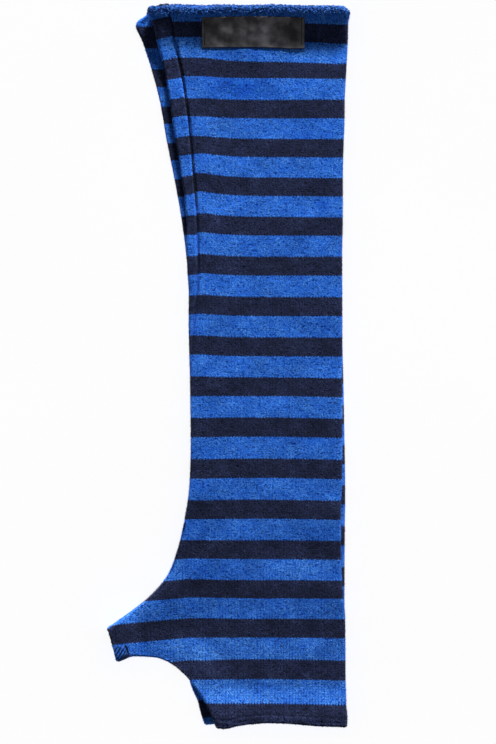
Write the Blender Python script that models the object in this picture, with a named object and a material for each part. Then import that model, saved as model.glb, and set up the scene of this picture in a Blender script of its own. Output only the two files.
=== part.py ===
"""A pair of long knitted arm warmers with thumb holes, laid flat, one on top of the other.

Each warmer is one cut of plush striped knit, folded lengthwise along the little-finger side
and closed by a single seam down the thumb side. Its arm opening, hand opening and thumb hole
end in turned hems, where the cloth is double. In the arm of the upper warmer the tube has
rolled, so that its seam shows on the front and a strip of the back half lies beside it.

The front and back halves are separate solids. They part at the fold and meet at the seam. The
only piece sewn on is the woven label on the front of the upper warmer's arm hem.

+Y runs to the arm openings, +X to the folds, +Z up. The origin is under the middle of the
pair, on the surface that it lies on.
"""

import math
from collections import namedtuple

import bmesh
import bpy
import numpy as np

MM = 0.001  # the sizes below are in millimetres

# The cloth and how its layers lie
CLOTH = 1.5  # thickness of one layer of the knit
LAYER_GAP = 0.35  # between cloth that lies on cloth
SEAM_GAP = 0.3  # between the edges of two halves
SEAM_DIP = 0.6  # how deep the seam sinks into the plush
SEAM_DIP_WIDTH = 2.2  # how far on each side of the seam the cloth sinks
BODY_HEIGHT = 2 * CLOTH + LAYER_GAP  # a flat tube away from its hems

# The openings, along Y, and their hems. The cloth is turned in over "depth", and the turned-in
# layer adds "extra" to a wall at the fold. From "full" in, the cloth comes down over "slope".
ARM_EDGE = 249.9
HAND_EDGE = -248.4
Hem = namedtuple("Hem", "depth extra full slope")
ARM_HEM = Hem(14.0, 1.75, 4.0, 25.0)
HAND_HEM = Hem(8.0, 1.0, 5.0, 22.0)
THUMB_HEM = Hem(7.0, 1.0, 5.0, 17.0)
HEM_STEP = 2.0  # over which the turned-in layer ends
HEM_EVENNESS = 0.5  # 1 is a straight slope, 0 one with fully soft ends
WAVE_FADE = 17.0  # how far in from an open edge its waves reach

# Rows of each half, by their distance in from an open edge: the edge's rounding comes first
ROUND = CLOTH
ROUNDING_ROWS = (0.0, 0.3 * ROUND, ROUND)
ARM_HEM_ROWS = (ARM_HEM.full, 9.0)
ARM_SLOPE_ROWS = 6
ARM_ROWS_PAST = 4.0  # how far past the arm hem's slope its close rows go on
HAND_SLOPE_ROWS = 3
ROW_SPACING = 14.0
THUMB_ROW_SPACING = 9.0
FLAT_COLUMNS = 6
QUARTER_COLUMNS = 3
ROLL_COLUMNS = 8
ROLL_SHARE = 0.75  # of a rolled edge's columns that go round its fold
THUMB_COLUMNS = 4
THUMB_SLOPE_COLUMNS = 4
CONTOUR_STEP = 0.01  # share of the thumb's contour over which its direction is taken
LEVEL_RUN = 12.0  # over which an edge's rounding turns level towards an open edge
LEVEL = np.array([-1.0, 0.0])  # straight out from the thumb side

OUTER, INNER = 0, 1  # the two faces of the cloth
EDGE_ROUNDING = 0.8  # how much of a full half round an open edge has

# One row for each section across a warmer, in millimetres. "left" is the thumb-side edge or,
# between the two ends of the thumb, the line where the thumb leaves the hand. "seam" is how
# far in from the left edge the seam shows on the front, and "right" is the fold.
Section = namedtuple("Section", "along left seam right")

UPPER_SECTIONS = [
    Section(250.0, -54.9, 13.6, 82.2),
    Section(244.5, -55.5, 13.6, 83.7),
    Section(237.0, -52.5, 13.2, 82.5),
    Section(224.5, -49.3, 11.9, 82.3),
    Section(210.5, -45.8, 11.4, 81.6),
    Section(183.0, -40.3, 10.9, 80.2),
    Section(169.5, -38.6, 11.0, 80.0),
    Section(155.5, -36.2, 9.9, 79.5),
    Section(128.0, -32.0, 8.3, 78.9),
    Section(114.0, -29.8, 7.3, 78.9),
    Section(99.0, -29.0, 7.1, 78.8),
    Section(73.0, -28.5, 7.3, 78.4),
    Section(48.0, -27.4, 5.2, 78.5),
    Section(24.0, -27.2, 2.8, 78.5),
    Section(-10.0, -27.0, 0.0, 78.5),
    Section(-51.0, -26.5, 0.0, 78.5),
    Section(-79.0, -27.2, 0.0, 78.4),
    Section(-93.0, -28.6, 0.0, 77.7),
    Section(-106.5, -30.7, 0.0, 77.5),
    Section(-134.0, -30.9, 0.0, 77.6),
    Section(-155.0, -30.2, 0.0, 78.9),
    Section(-175.0, -29.2, 0.0, 80.5),
    Section(-217.0, -26.5, 0.0, 80.8),
    Section(-224.0, -21.7, 0.0, 81.0),
    Section(-233.0, -16.2, 0.0, 81.2),
    Section(-242.0, -11.3, 0.0, 82.0),
    Section(-250.0, -7.9, 0.0, 81.6),
]

LOWER_SECTIONS = [
    Section(250.0, -53.6, 0.0, 80.8),
    Section(244.0, -58.2, 0.0, 81.0),
    Section(240.0, -62.9, 0.0, 80.8),
    Section(235.5, -64.5, 0.0, 80.6),
    Section(225.0, -60.3, 0.0, 80.0),
    Section(211.0, -55.5, 0.0, 79.2),
    Section(183.0, -47.9, 0.0, 77.6),
    Section(155.5, -43.1, 0.0, 76.8),
    Section(128.0, -37.6, 0.0, 76.4),
    Section(100.0, -32.7, 0.0, 76.4),
    Section(72.5, -29.3, 0.0, 76.8),
    Section(45.0, -27.2, 0.0, 77.6),
    Section(0.0, -25.6, 0.0, 79.1),
    Section(-55.0, -24.9, 0.0, 80.2),
    Section(-80.0, -25.7, 0.0, 80.6),
    Section(-93.0, -27.5, 0.0, 80.6),
    Section(-106.5, -30.2, 0.0, 80.4),
    Section(-134.0, -30.6, 0.0, 80.2),
    Section(-162.0, -29.8, 0.0, 80.1),
    Section(-217.0, -27.3, 0.0, 79.6),
    Section(-224.0, -25.0, 0.0, 79.7),
    Section(-232.0, -21.4, 0.0, 79.8),
    Section(-239.0, -19.8, 0.0, 80.0),
    Section(-250.0, -16.2, 0.0, 80.0),
]

# The thumb's two contours, from the hand to the mouth of the thumb hole
Place = namedtuple("Place", "x y")

UPPER_THUMB_TOP = [
    Place(-30.7, -106.5),
    Place(-34.2, -121.3),
    Place(-41.6, -142.2),
    Place(-54.7, -158.5),
    Place(-69.9, -171.0),
    Place(-84.0, -180.9),
]
UPPER_THUMB_BOTTOM = [
    Place(-26.5, -217.0),
    Place(-31.4, -212.2),
    Place(-39.7, -205.5),
    Place(-50.8, -201.2),
    Place(-64.6, -200.4),
    Place(-77.0, -204.0),
]
LOWER_THUMB_TOP = [
    Place(-30.2, -106.5),
    Place(-33.5, -121.3),
    Place(-40.7, -141.7),
    Place(-54.3, -157.8),
    Place(-70.2, -170.4),
    Place(-84.6, -180.6),
]
LOWER_THUMB_BOTTOM = [
    Place(-27.3, -217.0),
    Place(-31.9, -211.5),
    Place(-39.9, -204.6),
    Place(-50.9, -200.4),
    Place(-64.7, -199.8),
    Place(-77.2, -203.4),
]

# How far the open edges lie from the straight ones that ARM_EDGE and HAND_EDGE give
Wave = namedtuple("Wave", "x reach")

UPPER_ARM_WAVE = [
    Wave(-55.0, -1.4),
    Wave(-40.0, 0.8),
    Wave(-19.0, -0.2),
    Wave(0.0, 0.4),
    Wave(16.0, -0.2),
    Wave(33.0, 0.3),
    Wave(50.0, -0.5),
    Wave(80.0, -1.0),
]
UPPER_HAND_WAVE = [
    Wave(-8.0, -1.6),
    Wave(-3.0, -2.4),
    Wave(9.0, 0.2),
    Wave(30.0, 1.8),
    Wave(44.0, 1.2),
    Wave(61.0, -0.2),
    Wave(81.0, -0.8),
]
LOWER_ARM_WAVE = [
    Wave(-58.0, -3.0),
    Wave(-46.0, 1.0),
    Wave(-20.0, -0.8),
    Wave(50.0, -0.8),
    Wave(70.0, -0.4),
    Wave(80.0, -0.8),
]
LOWER_HAND_WAVE = [
    Wave(-16.0, 0.8),
    Wave(0.0, 1.6),
    Wave(80.0, 2.2),
]

# The woven label on the upper warmer's front
LABEL_WIDTH = 71.0
LABEL_DEPTH = 21.0
LABEL_THICKNESS = 0.6
LABEL_LEFT = -18.5
LABEL_TOP = 241.6
LABEL_BOW = 0.8  # how far the middle of its top edge rises above the ends
LABEL_COLUMNS = 10
LABEL_ROWS = 8

# Plain finishes
BLUE_KNIT = (0.030, 0.110, 0.470)
DEEP_BLUE_KNIT = (0.024, 0.085, 0.370)
LABEL_SATIN = (0.028, 0.028, 0.032)
KNIT_ROUGHNESS = 0.9
SATIN_ROUGHNESS = 0.45

# A warmer: its outline, and how many warmers lie under it
Warmer = namedtuple("Warmer", "sections thumb_top thumb_bottom arm_wave hand_wave under")

UPPER = Warmer(
    UPPER_SECTIONS, UPPER_THUMB_TOP, UPPER_THUMB_BOTTOM, UPPER_ARM_WAVE, UPPER_HAND_WAVE, 1
)
LOWER = Warmer(
    LOWER_SECTIONS, LOWER_THUMB_TOP, LOWER_THUMB_BOTTOM, LOWER_ARM_WAVE, LOWER_HAND_WAVE, 0
)

# A point of a half. "plan" is the flat point, or the centre line of the fold that the point goes
# round, "outward" the fold's direction, and "turn" the angle from straight up. "inset" is the
# distance to the open edge, "hem" that edge's hem, and "from_seam" the distance to the seam.
Point = namedtuple("Point", "plan outward turn inset hem from_seam")


def smooth_curve(at, values):
    """A function that runs smoothly through the values, with no overshoot between them."""
    at, values = np.array(at, float), np.array(values, float)
    if at[0] > at[-1]:
        at, values = at[::-1], values[::-1]
    steps = np.diff(at)
    slopes = np.diff(values) / steps
    before, after = 2 * steps[1:] + steps[:-1], steps[1:] + 2 * steps[:-1]
    tangents = np.concatenate([slopes[:1], np.zeros(len(at) - 2), slopes[-1:]])
    for i in range(len(slopes) - 1):
        if slopes[i] * slopes[i + 1] > 0:
            weighted = before[i] / slopes[i] + after[i] / slopes[i + 1]
            tangents[i + 1] = (before[i] + after[i]) / weighted

    def value(x):
        x = min(max(x, at[0]), at[-1])
        i = min(int(np.searchsorted(at, x, side="right")) - 1, len(steps) - 1)
        share = (x - at[i]) / steps[i]
        rise = share * share * (3 - 2 * share)
        start = share * (1 - share) ** 2 * steps[i] * tangents[i]
        end = share * share * (share - 1) * steps[i] * tangents[i + 1]
        return float(values[i] + (values[i + 1] - values[i]) * rise + start + end)

    return value


def column(table, across, name):
    """One column of a table as a smooth function of another."""
    return smooth_curve(*([getattr(row, key) for row in table] for key in (across, name)))


def plan_curve(places):
    """A smooth curve through places in plan, as a function of the share of its length."""
    points = np.array(places, float)
    lengths = np.concatenate([[0], np.cumsum(np.linalg.norm(np.diff(points, axis=0), axis=1))])
    x = smooth_curve(lengths / lengths[-1], points[:, 0])
    y = smooth_curve(lengths / lengths[-1], points[:, 1])
    return lambda share: np.array([x(share), y(share)])


def fade(distance, full, run):
    """1 up to the distance full, then smoothly down to 0 over run."""
    share = min(max((distance - full) / run, 0.0), 1.0)
    return 1 - share * share * (3 - 2 * share)


def hem_swell(distance, hem):
    """How much a hem adds to each wall of its tube, at a distance from its open edge."""
    share = min(max((distance - hem.full) / hem.slope, 0.0), 1.0)
    fall = HEM_EVENNESS * share + (1 - HEM_EVENNESS) * (1 - fade(share, 0.0, 1.0))
    return hem.extra * (1 - fall)


def thumb_mouth_distance(x, y):
    """How far a place lies in from the line of the thumb hole."""
    top, bottom = np.array(UPPER_THUMB_TOP[-1]), np.array(UPPER_THUMB_BOTTOM[-1])
    along = (bottom - top) / np.linalg.norm(bottom - top)
    inward = np.array([-along[1], along[0]])
    return float(np.dot(np.array([x, y]) - top, inward))


def tube_height(x, y):
    """The height of one flat warmer at a place: more at the hems, where its cloth is double."""
    swell = max(
        hem_swell(ARM_EDGE - y, ARM_HEM),
        hem_swell(y - HAND_EDGE, HAND_HEM),
        hem_swell(thumb_mouth_distance(x, y), THUMB_HEM),
    )
    return BODY_HEIGHT + 2 * swell


def tube_middle(warmer, x, y):
    """The height at which a warmer's front and back halves meet."""
    height = tube_height(x, y)
    return warmer.under * (height + LAYER_GAP) + height / 2


def wall_faces(point, radius):
    """How far the outer and the inner face of the cloth lie from its fold's centre line."""
    turned_in = (radius - BODY_HEIGHT / 2) * fade(point.inset, point.hem.depth, HEM_STEP)
    short = max(ROUND - point.inset, 0.0)
    rounding = EDGE_ROUNDING * (ROUND - math.sqrt(ROUND * ROUND - short * short))
    dip = SEAM_DIP * fade(point.from_seam, 0.0, SEAM_DIP_WIDTH)
    outer = radius - rounding - dip
    inner = radius - CLOTH - turned_in + rounding
    return outer, inner


def place(warmer, point, face):
    """A point of the cloth's outer or inner face, in space."""
    x, y = point.plan
    radius = tube_height(x, y) / 2
    reach = wall_faces(point, radius)[face]
    sideways = reach * math.sin(point.turn)
    rise = reach * math.cos(point.turn)
    return (
        (x + point.outward[0] * sideways) * MM,
        (y + point.outward[1] * sideways) * MM,
        (tube_middle(warmer, x, y) + rise) * MM,
    )


def round_edge(edge, outward, run, radius, **details):
    """The point at the distance run round an edge from its outermost line, up being positive."""
    centre = edge - radius * outward
    quarter = math.pi * radius / 2
    past = max(abs(run) - quarter, 0.0)
    turn = math.pi / 2 - math.copysign(min(abs(run), quarter), run) / radius
    return Point(centre - past * outward, outward, turn, **details)


def seam_run(seam, radius):
    """How far round the edge a seam lies that shows that far in from it on the front."""
    if seam < radius:
        return radius * math.acos(1 - seam / radius)
    return seam - radius + math.pi * radius / 2


def spread(start, end, steps):
    """Evenly spaced values from start to end, both included."""
    return [start + (end - start) * k / steps for k in range(steps + 1)]


def slope_end(hem):
    """How far in from its open edge a hem's slope ends."""
    return hem.full + hem.slope


def rows_along(warmer):
    """The places along a warmer that have a row of points, and the rows that bound its thumb."""
    thumb_start, thumb_end = warmer.thumb_top[0].y, warmer.thumb_bottom[0].y
    arm_insets = list(ROUNDING_ROWS) + list(ARM_HEM_ROWS) + [ARM_HEM.depth]
    past_slope = slope_end(ARM_HEM) + ARM_ROWS_PAST
    arm_insets += spread(ARM_HEM.depth + HEM_STEP, past_slope, ARM_SLOPE_ROWS)
    hand_insets = list(ROUNDING_ROWS) + [HAND_HEM.full, HAND_HEM.depth]
    hand_insets += spread(HAND_HEM.depth + HEM_STEP, slope_end(HAND_HEM), HAND_SLOPE_ROWS)
    along = [ARM_EDGE - inset for inset in arm_insets]
    along += spread(along[-1], thumb_start, round((along[-1] - thumb_start) / ROW_SPACING))[1:]
    first = len(along) - 1
    along += spread(thumb_start, thumb_end, round((thumb_start - thumb_end) / THUMB_ROW_SPACING))[1:]
    last = len(along) - 1
    hand = [HAND_EDGE + inset for inset in reversed(hand_insets)]
    along += [y for y in hand if y < thumb_end - ROUND]
    return along, first, last


def plan_length(places):
    """The length of the straight lines that join places in plan."""
    return float(np.linalg.norm(np.diff(np.array(places), axis=0), axis=1).sum())


class Half:
    """The points of a warmer's front or back half, in rows, and the faces between them."""

    def __init__(self, warmer, front):
        self.warmer = warmer
        self.front = front
        self.left = column(warmer.sections, "along", "left")
        self.seam = column(warmer.sections, "along", "seam")
        self.right = column(warmer.sections, "along", "right")
        self.arm_wave = column(warmer.arm_wave, "x", "reach")
        self.hand_wave = column(warmer.hand_wave, "x", "reach")
        self.rolled = any(section.seam for section in warmer.sections)
        self.along, self.first, self.last = rows_along(warmer)
        self.points, self.faces = [], []

    def waved(self, x, y):
        """Where a row lies at x, with the waves of the open edge that is near it."""
        arm = self.arm_wave(x) * fade(ARM_EDGE - y, 0.0, WAVE_FADE)
        hand = self.hand_wave(x) * fade(y - HAND_EDGE, 0.0, WAVE_FADE)
        return y + arm + hand

    def left_edge(self, y, inset):
        """The thumb-side edge at y, and its outward direction, which is level at an open edge."""
        slope = (self.left(y + 1.0) - self.left(y - 1.0)) / 2.0
        slope *= 1 - fade(inset, ROUND, LEVEL_RUN)
        return (
            np.array([self.left(y), self.waved(self.left(y), y)]),
            np.array([-1.0, slope]) / math.hypot(1.0, slope),
        )

    def edge_runs(self, seam_at, radius):
        """Distances round the thumb-side edge, from the flat of this half to the seam."""
        quarter = math.pi * radius / 2
        if self.front:
            flat = max(quarter, seam_at + SEAM_DIP_WIDTH)
            return spread(flat, seam_at + SEAM_GAP / 2, QUARTER_COLUMNS)
        end = seam_at - SEAM_GAP / 2
        if not self.rolled:
            return spread(-quarter, end, QUARTER_COLUMNS)
        turning = round(ROLL_COLUMNS * ROLL_SHARE)
        turned = min(quarter, ROLL_SHARE * (quarter + end) - quarter)
        return spread(-quarter, turned, turning) + spread(turned, end, ROLL_COLUMNS - turning)[1:]

    def edge_strip(self, edge, outward, seam, inset, hem):
        """The points round the thumb-side edge, from the flat of this half to the seam."""
        radius = tube_height(*(edge - BODY_HEIGHT * outward)) / 2
        seam_at = seam_run(seam, radius)
        return [
            round_edge(edge, outward, run, radius, inset=inset, hem=hem, from_seam=abs(seam_at - run))
            for run in self.edge_runs(seam_at, radius)
        ]

    def flat_point(self, plan, inset, hem):
        """A point of the half's flat, away from the seam."""
        return Point(plan, LEVEL, 0.0 if self.front else math.pi, inset, hem, SEAM_DIP_WIDTH)

    def number(self, points):
        """Keeps new points, and gives their numbers."""
        self.points += points
        return list(range(len(self.points) - len(points), len(self.points)))

    def join(self, lines):
        """Makes the faces between each line of numbers and the next."""
        for first, second in zip(lines, lines[1:]):
            self.faces += zip(first, first[1:], second[1:], second)

    def body_row(self, start, y, inset, hem):
        """A row from its start by the thumb side to the middle of the fold on the right."""
        radius = tube_height(self.right(y), y) / 2
        fold = np.array([self.right(y), self.waved(self.right(y), y)])
        row = []
        for x in spread(start[0], fold[0] - radius, FLAT_COLUMNS):
            fall = (start[1] - self.waved(start[0], y)) * (fold[0] - x) / (fold[0] - start[0])
            row.append(self.flat_point(np.array([x, self.waved(x, y) + fall]), inset, hem))
        side = 1 if self.front else -1
        for run in spread(math.pi * radius / 2, SEAM_GAP / 2, QUARTER_COLUMNS)[1:]:
            rest = {"inset": inset, "hem": hem, "from_seam": SEAM_DIP_WIDTH}
            row.append(round_edge(fold, -LEVEL, side * run, radius, **rest))
        return row

    def make_body(self):
        """The hand and the arm. Gives the lines that the thumb joins: its root and two edges."""
        rows, above, below = [], [], []
        for i, y in enumerate(self.along):
            from_arm, from_hand = ARM_EDGE - y, y - HAND_EDGE
            inset, hem = min((from_arm, ARM_HEM), (from_hand, HAND_HEM))
            strip = self.edge_strip(*self.left_edge(y, inset), self.seam(y), inset, hem)
            in_thumb = self.first < i < self.last
            start = np.array([self.left(y), y]) if in_thumb else strip[0].plan
            rows.append(self.number(self.body_row(start, y, inset, hem)))
            if not in_thumb:
                edge = above if i <= self.first else below
                edge.append([rows[-1][0]] + self.number(strip[1:]))
        for lines in (rows, above, below):
            self.join(lines)
        root = [row[0] for row in rows[self.first : self.last + 1]]
        return root, above[-1], below[0]

    def contour_at(self, which, inset):
        """The thumb's upper or lower edge at a distance in from its mouth, and its way out."""
        places = (self.warmer.thumb_top, self.warmer.thumb_bottom)[which]
        curve, share = plan_curve(places), 1 - inset / plan_length(places)
        ahead = curve(min(share + CONTOUR_STEP, 1.0)) - curve(share - CONTOUR_STEP)
        ahead /= np.linalg.norm(ahead)
        side = 1 if which == 0 else -1
        return curve(share), side * np.array([ahead[1], -ahead[0]])

    def make_thumb(self, root, above, below):
        """The thumb, from its root to its mouth, between the two edges that go on from the body."""
        plans = [self.points[i].plan for i in root]
        drops = [(plans[0][1] - plan[1]) / (plans[0][1] - plans[-1][1]) for plan in plans]
        lengths = [plan_length(self.warmer.thumb_top), plan_length(self.warmer.thumb_bottom)]
        bottom = slope_end(THUMB_HEM)
        near = spread(bottom, THUMB_HEM.depth + HEM_STEP, THUMB_SLOPE_COLUMNS)
        near += [THUMB_HEM.depth, THUMB_HEM.full] + list(reversed(ROUNDING_ROWS))
        insets = [spread(length, bottom, THUMB_COLUMNS)[1:-1] + near for length in lengths]
        middle, above_lines, below_lines = [root], [above], [below]
        for pair in zip(*insets):
            over, under = (
                self.edge_strip(*self.contour_at(which, pair[which]), 0.0, pair[which], THUMB_HEM)
                for which in (0, 1)
            )
            ids = []
            for drop, plan in zip(drops, plans):
                inset = pair[0] + (pair[1] - pair[0]) * drop
                left = inset / (lengths[0] + (lengths[1] - lengths[0]) * drop)
                bulge = left * (plan - (1 - drop) * plans[0] - drop * plans[-1])
                across = (1 - drop) * over[0].plan + drop * under[0].plan + bulge
                ids += self.number([self.flat_point(across, inset, THUMB_HEM)])
            middle.append(ids)
            above_lines.append([ids[0]] + self.number(over[1:]))
            below_lines.append([ids[-1]] + self.number(under[1:]))
        for lines in (above_lines, middle, below_lines):
            self.join(lines)


def solid(name, outer, inner, faces, material):
    """An object whose two skins share the same faces and whose rim is closed between them."""
    mesh = bmesh.new()
    skins = [[mesh.verts.new(place_) for place_ in skin] for skin in (outer, inner)]
    sides = {}
    for face in faces:
        for skin in skins:
            mesh.faces.new([skin[i] for i in face])
        for a, b in zip(face, face[1:] + face[:1]):
            key = (min(a, b), max(a, b))
            sides[key] = sides.get(key, 0) + 1
    for (a, b), uses in sides.items():
        if uses == 1:
            mesh.faces.new([skins[0][a], skins[0][b], skins[1][b], skins[1][a]])
    bmesh.ops.recalc_face_normals(mesh, faces=mesh.faces)
    data = bpy.data.meshes.new(name)
    mesh.to_mesh(data)
    mesh.free()
    data.materials.append(material)
    data.shade_smooth()
    data.set_sharp_from_angle(angle=math.radians(50))
    made = bpy.data.objects.new(name, data)
    bpy.context.scene.collection.objects.link(made)
    return made


def finish(name, colour, roughness):
    """A plain Principled finish."""
    material = bpy.data.materials.new(name)
    material.use_nodes = True
    shader = material.node_tree.nodes["Principled BSDF"]
    shader.inputs["Base Color"].default_value = (*colour, 1.0)
    shader.inputs["Roughness"].default_value = roughness
    shader.inputs["Metallic"].default_value = 0.0
    return material


def warmer_half(name, warmer, front, colour):
    """The front or the back half of a warmer."""
    half = Half(warmer, front)
    half.make_thumb(*half.make_body())
    skins = [[place(warmer, point, face) for point in half.points] for face in (OUTER, INNER)]
    return solid(name, *skins, half.faces, finish(name + "_knit", colour, KNIT_ROUGHNESS))


def label():
    """The woven label: a thin slab that follows the cloth under it, moved out from it."""
    lower, upper, faces = [], [], []
    for row in range(LABEL_ROWS + 1):
        for across in range(LABEL_COLUMNS + 1):
            share = across / LABEL_COLUMNS
            x = LABEL_LEFT + LABEL_WIDTH * share
            bow = LABEL_BOW * (1 - (2 * share - 1) ** 2) * (1 - row / LABEL_ROWS)
            y = LABEL_TOP - LABEL_DEPTH * row / LABEL_ROWS - LABEL_BOW + bow
            top = 2 * tube_height(x, y) + LAYER_GAP + SEAM_GAP
            lower.append((x * MM, y * MM, top * MM))
            upper.append((x * MM, y * MM, (top + LABEL_THICKNESS) * MM))
    width = LABEL_COLUMNS + 1
    for row in range(LABEL_ROWS):
        for across in range(LABEL_COLUMNS):
            corner = row * width + across
            faces.append((corner, corner + 1, corner + width + 1, corner + width))
    return solid("label", upper, lower, faces, finish("label_satin", LABEL_SATIN, SATIN_ROUGHNESS))


def main():
    for old in list(bpy.data.objects):
        bpy.data.objects.remove(old, do_unlink=True)
    warmer_half("lower_back", LOWER, False, DEEP_BLUE_KNIT)
    warmer_half("lower_front", LOWER, True, BLUE_KNIT)
    warmer_half("upper_back", UPPER, False, DEEP_BLUE_KNIT)
    warmer_half("upper_front", UPPER, True, BLUE_KNIT)
    label()


main()
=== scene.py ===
"""A pair of striped arm warmers, laid flat, with its knit, sewing, label and fuzz.

The cloth of each warmer is one closed tube: it starts at the thumb-side seam, goes over the
front, round the fold and back under to the seam, and its three open edges are turned in. The
sizes below are in millimetres. +Y runs to the arm openings, +X to the folds and +Z up.
"""

import math
from collections import namedtuple

import bmesh
import bpy
import numpy as np
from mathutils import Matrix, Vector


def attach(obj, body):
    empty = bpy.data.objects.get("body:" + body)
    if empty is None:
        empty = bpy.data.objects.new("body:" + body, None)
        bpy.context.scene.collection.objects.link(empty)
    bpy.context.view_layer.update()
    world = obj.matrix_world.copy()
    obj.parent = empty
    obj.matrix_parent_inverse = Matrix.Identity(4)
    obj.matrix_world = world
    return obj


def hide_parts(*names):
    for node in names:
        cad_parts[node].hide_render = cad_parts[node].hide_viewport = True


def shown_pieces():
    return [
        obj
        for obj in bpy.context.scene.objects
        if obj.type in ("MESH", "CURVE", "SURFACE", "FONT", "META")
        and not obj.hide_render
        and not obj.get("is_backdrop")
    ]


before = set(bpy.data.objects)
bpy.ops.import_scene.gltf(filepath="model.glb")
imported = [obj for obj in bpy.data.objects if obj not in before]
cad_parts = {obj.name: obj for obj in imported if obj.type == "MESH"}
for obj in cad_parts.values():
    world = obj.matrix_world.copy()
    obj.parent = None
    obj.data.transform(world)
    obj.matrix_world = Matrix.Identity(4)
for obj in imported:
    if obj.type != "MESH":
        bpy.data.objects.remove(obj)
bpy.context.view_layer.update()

MM = 0.001  # one millimetre, in Blender's metres


def table(kind, rows):
    """Rows of plain values, with each value named by its column."""
    return [kind(*row) for row in rows]


# ---------------------------------------------------------------- the cloth's form
CLOTH = 1.5  # thickness of one layer of the knit
LAYER_GAP = 0.35  # between cloth that lies on cloth
LABEL_GAP = 0.1  # between the label and the cloth under it
BODY_HEIGHT = 2 * CLOTH + LAYER_GAP  # a flat tube away from its hems

ARM_EDGE = 249.5  # of the cloth itself, under its loops and fuzz
HAND_EDGE = -248.0
Hem = namedtuple("Hem", "depth extra full slope")
ARM_HEM = Hem(14.0, 1.75, 4.0, 25.0)
HAND_HEM = Hem(8.0, 1.0, 5.0, 22.0)
THUMB_HEM = Hem(7.0, 1.0, 5.0, 17.0)
HEM_STEP = 2.0  # over which the turned-in layer ends
HEM_EVENNESS = 0.5  # 1 is a straight slope, 0 one with fully soft ends
WAVE_FADE = 17.0  # how far in from an open edge its waves reach
# Along the cloth, in metres:
THIN_PLUSH = (0.27, 0.42)  # over this the plush thins, and painted shade darkens the furrows between its stitches
BARE_PLUSH = (0.40, 0.46)  # over this the stitches start to catch the light
ARM_FOLD = (-0.0095, -0.0055)  # before this the cloth goes over the arm's fold
LEVEL_RUN = 20.0  # over which an edge's rounding turns level towards an open edge
EDGE_START = 1.5  # where that turn begins
LEVEL = np.array([-1.0, 0.0])  # straight out from the thumb side

Section = namedtuple("Section", "along left seam right")

UPPER_SECTIONS = table(Section, [
    (250, -54.9, 13.6, 80.4), (247.5, -55.2, 13.6, 82.6), (244.5, -55.5, 13.6, 83.6),
    (237, -52.5, 13.2, 82.5), (224.5, -49.3, 11.9, 82.3), (210.5, -45.8, 11.4, 81.6),
    (183, -40.3, 10.9, 80.2), (169.5, -38.6, 11, 80), (155.5, -36.2, 9.9, 79.5),
    (128, -32, 8.3, 78.9), (114, -29.8, 7.3, 78.9), (99, -29, 7.1, 78.8), (73, -28.5, 7.3, 78.4),
    (48, -27.4, 5.2, 78.5), (24, -27.2, 2.8, 78.5), (-10, -27, 0, 78.5), (-51, -26.5, 0, 78.5),
    (-79, -27.2, 0, 78.4), (-93, -28.6, 0, 77.7), (-106.5, -30.7, 0, 77.5), (-134, -30.9, 0, 77.6),
    (-155, -30.2, 0, 78.9), (-175, -29.2, 0, 80.5), (-217, -26.5, 0, 80.8), (-224, -21.7, 0, 81),
    (-233, -16.2, 0, 81.2), (-242, -11.3, 0, 82), (-250, -7.9, 0, 81.6),
])

LOWER_SECTIONS = table(Section, [
    (250, -53.6, 0, 80.8), (244, -58.2, 0, 81), (240, -62.9, 0, 80.8), (235.5, -64.5, 0, 80.6),
    (225, -60.3, 0, 80), (211, -55.5, 0, 79.2), (183, -47.9, 0, 77.6), (155.5, -43.1, 0, 76.8),
    (128, -37.6, 0, 76.4), (100, -32.7, 0, 76.4), (72.5, -29.3, 0, 76.8), (45, -27.2, 0, 77.6),
    (0, -25.6, 0, 79.1), (-55, -24.9, 0, 80.2), (-80, -25.7, 0, 80.6), (-93, -27.5, 0, 80.6),
    (-106.5, -30.2, 0, 80.4), (-134, -30.6, 0, 80.2), (-162, -29.8, 0, 80.1), (-217, -27.3, 0, 79.6),
    (-224, -25, 0, 79.7), (-232, -21.4, 0, 79.8), (-239, -19.8, 0, 80), (-250, -16.2, 0, 80),
])

Place = namedtuple("Place", "x y")

UPPER_THUMB_TOP = table(Place, [
    (-30.7, -106.5), (-34.2, -121.3), (-41.6, -142.2), (-54.7, -158.5), (-69.9, -171), (-84, -180.9),
])
UPPER_THUMB_BOTTOM = table(Place, [
    (-26.5, -217), (-31.4, -212.2), (-39.7, -205.5), (-50.8, -201.2), (-64.6, -200.4), (-77, -204),
])
LOWER_THUMB_TOP = table(Place, [
    (-30.2, -106.5), (-33.5, -121.3), (-40.7, -141.7), (-54.3, -157.8), (-70.2, -170.4),
    (-84.6, -180.6),
])
LOWER_THUMB_BOTTOM = table(Place, [
    (-27.3, -217), (-31.9, -211.5), (-39.9, -204.6), (-50.9, -200.4), (-64.7, -199.8),
    (-77.2, -203.4),
])

Wave = namedtuple("Wave", "x reach")

UPPER_ARM_WAVE = table(Wave, [
    (-55, -1.4), (-40, 0.8), (-19, -0.2), (0, 0.4), (16, -0.2), (33, 0.3), (50, -0.6), (71, -1.1),
    (79, -1.8), (83, -2.6),
])
UPPER_HAND_WAVE = table(Wave, [
    (-8, -1.6), (-3, -2.4), (9, 0.2), (30, 1.8), (44, 1.2), (61, -0.2), (81, -0.8),
])
LOWER_ARM_WAVE = table(Wave, [
    (-58, -3), (-46, 1), (-20, -0.8), (50, -0.8), (70, -0.4), (80, -0.8),
])
LOWER_HAND_WAVE = table(Wave, [
    (-16, 0.8), (0, 1.6), (80, 2.2),
])

# ---------------------------------------------------------------- stripes and stitches
WALE = 2.0  # width of one column of stitches
COURSE = 1.445  # height of one row of stitches
BAND_COURSES = 19  # rows in a navy and a blue stripe together
NAVY_COURSES = 9
BAND = COURSE * BAND_COURSES

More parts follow.
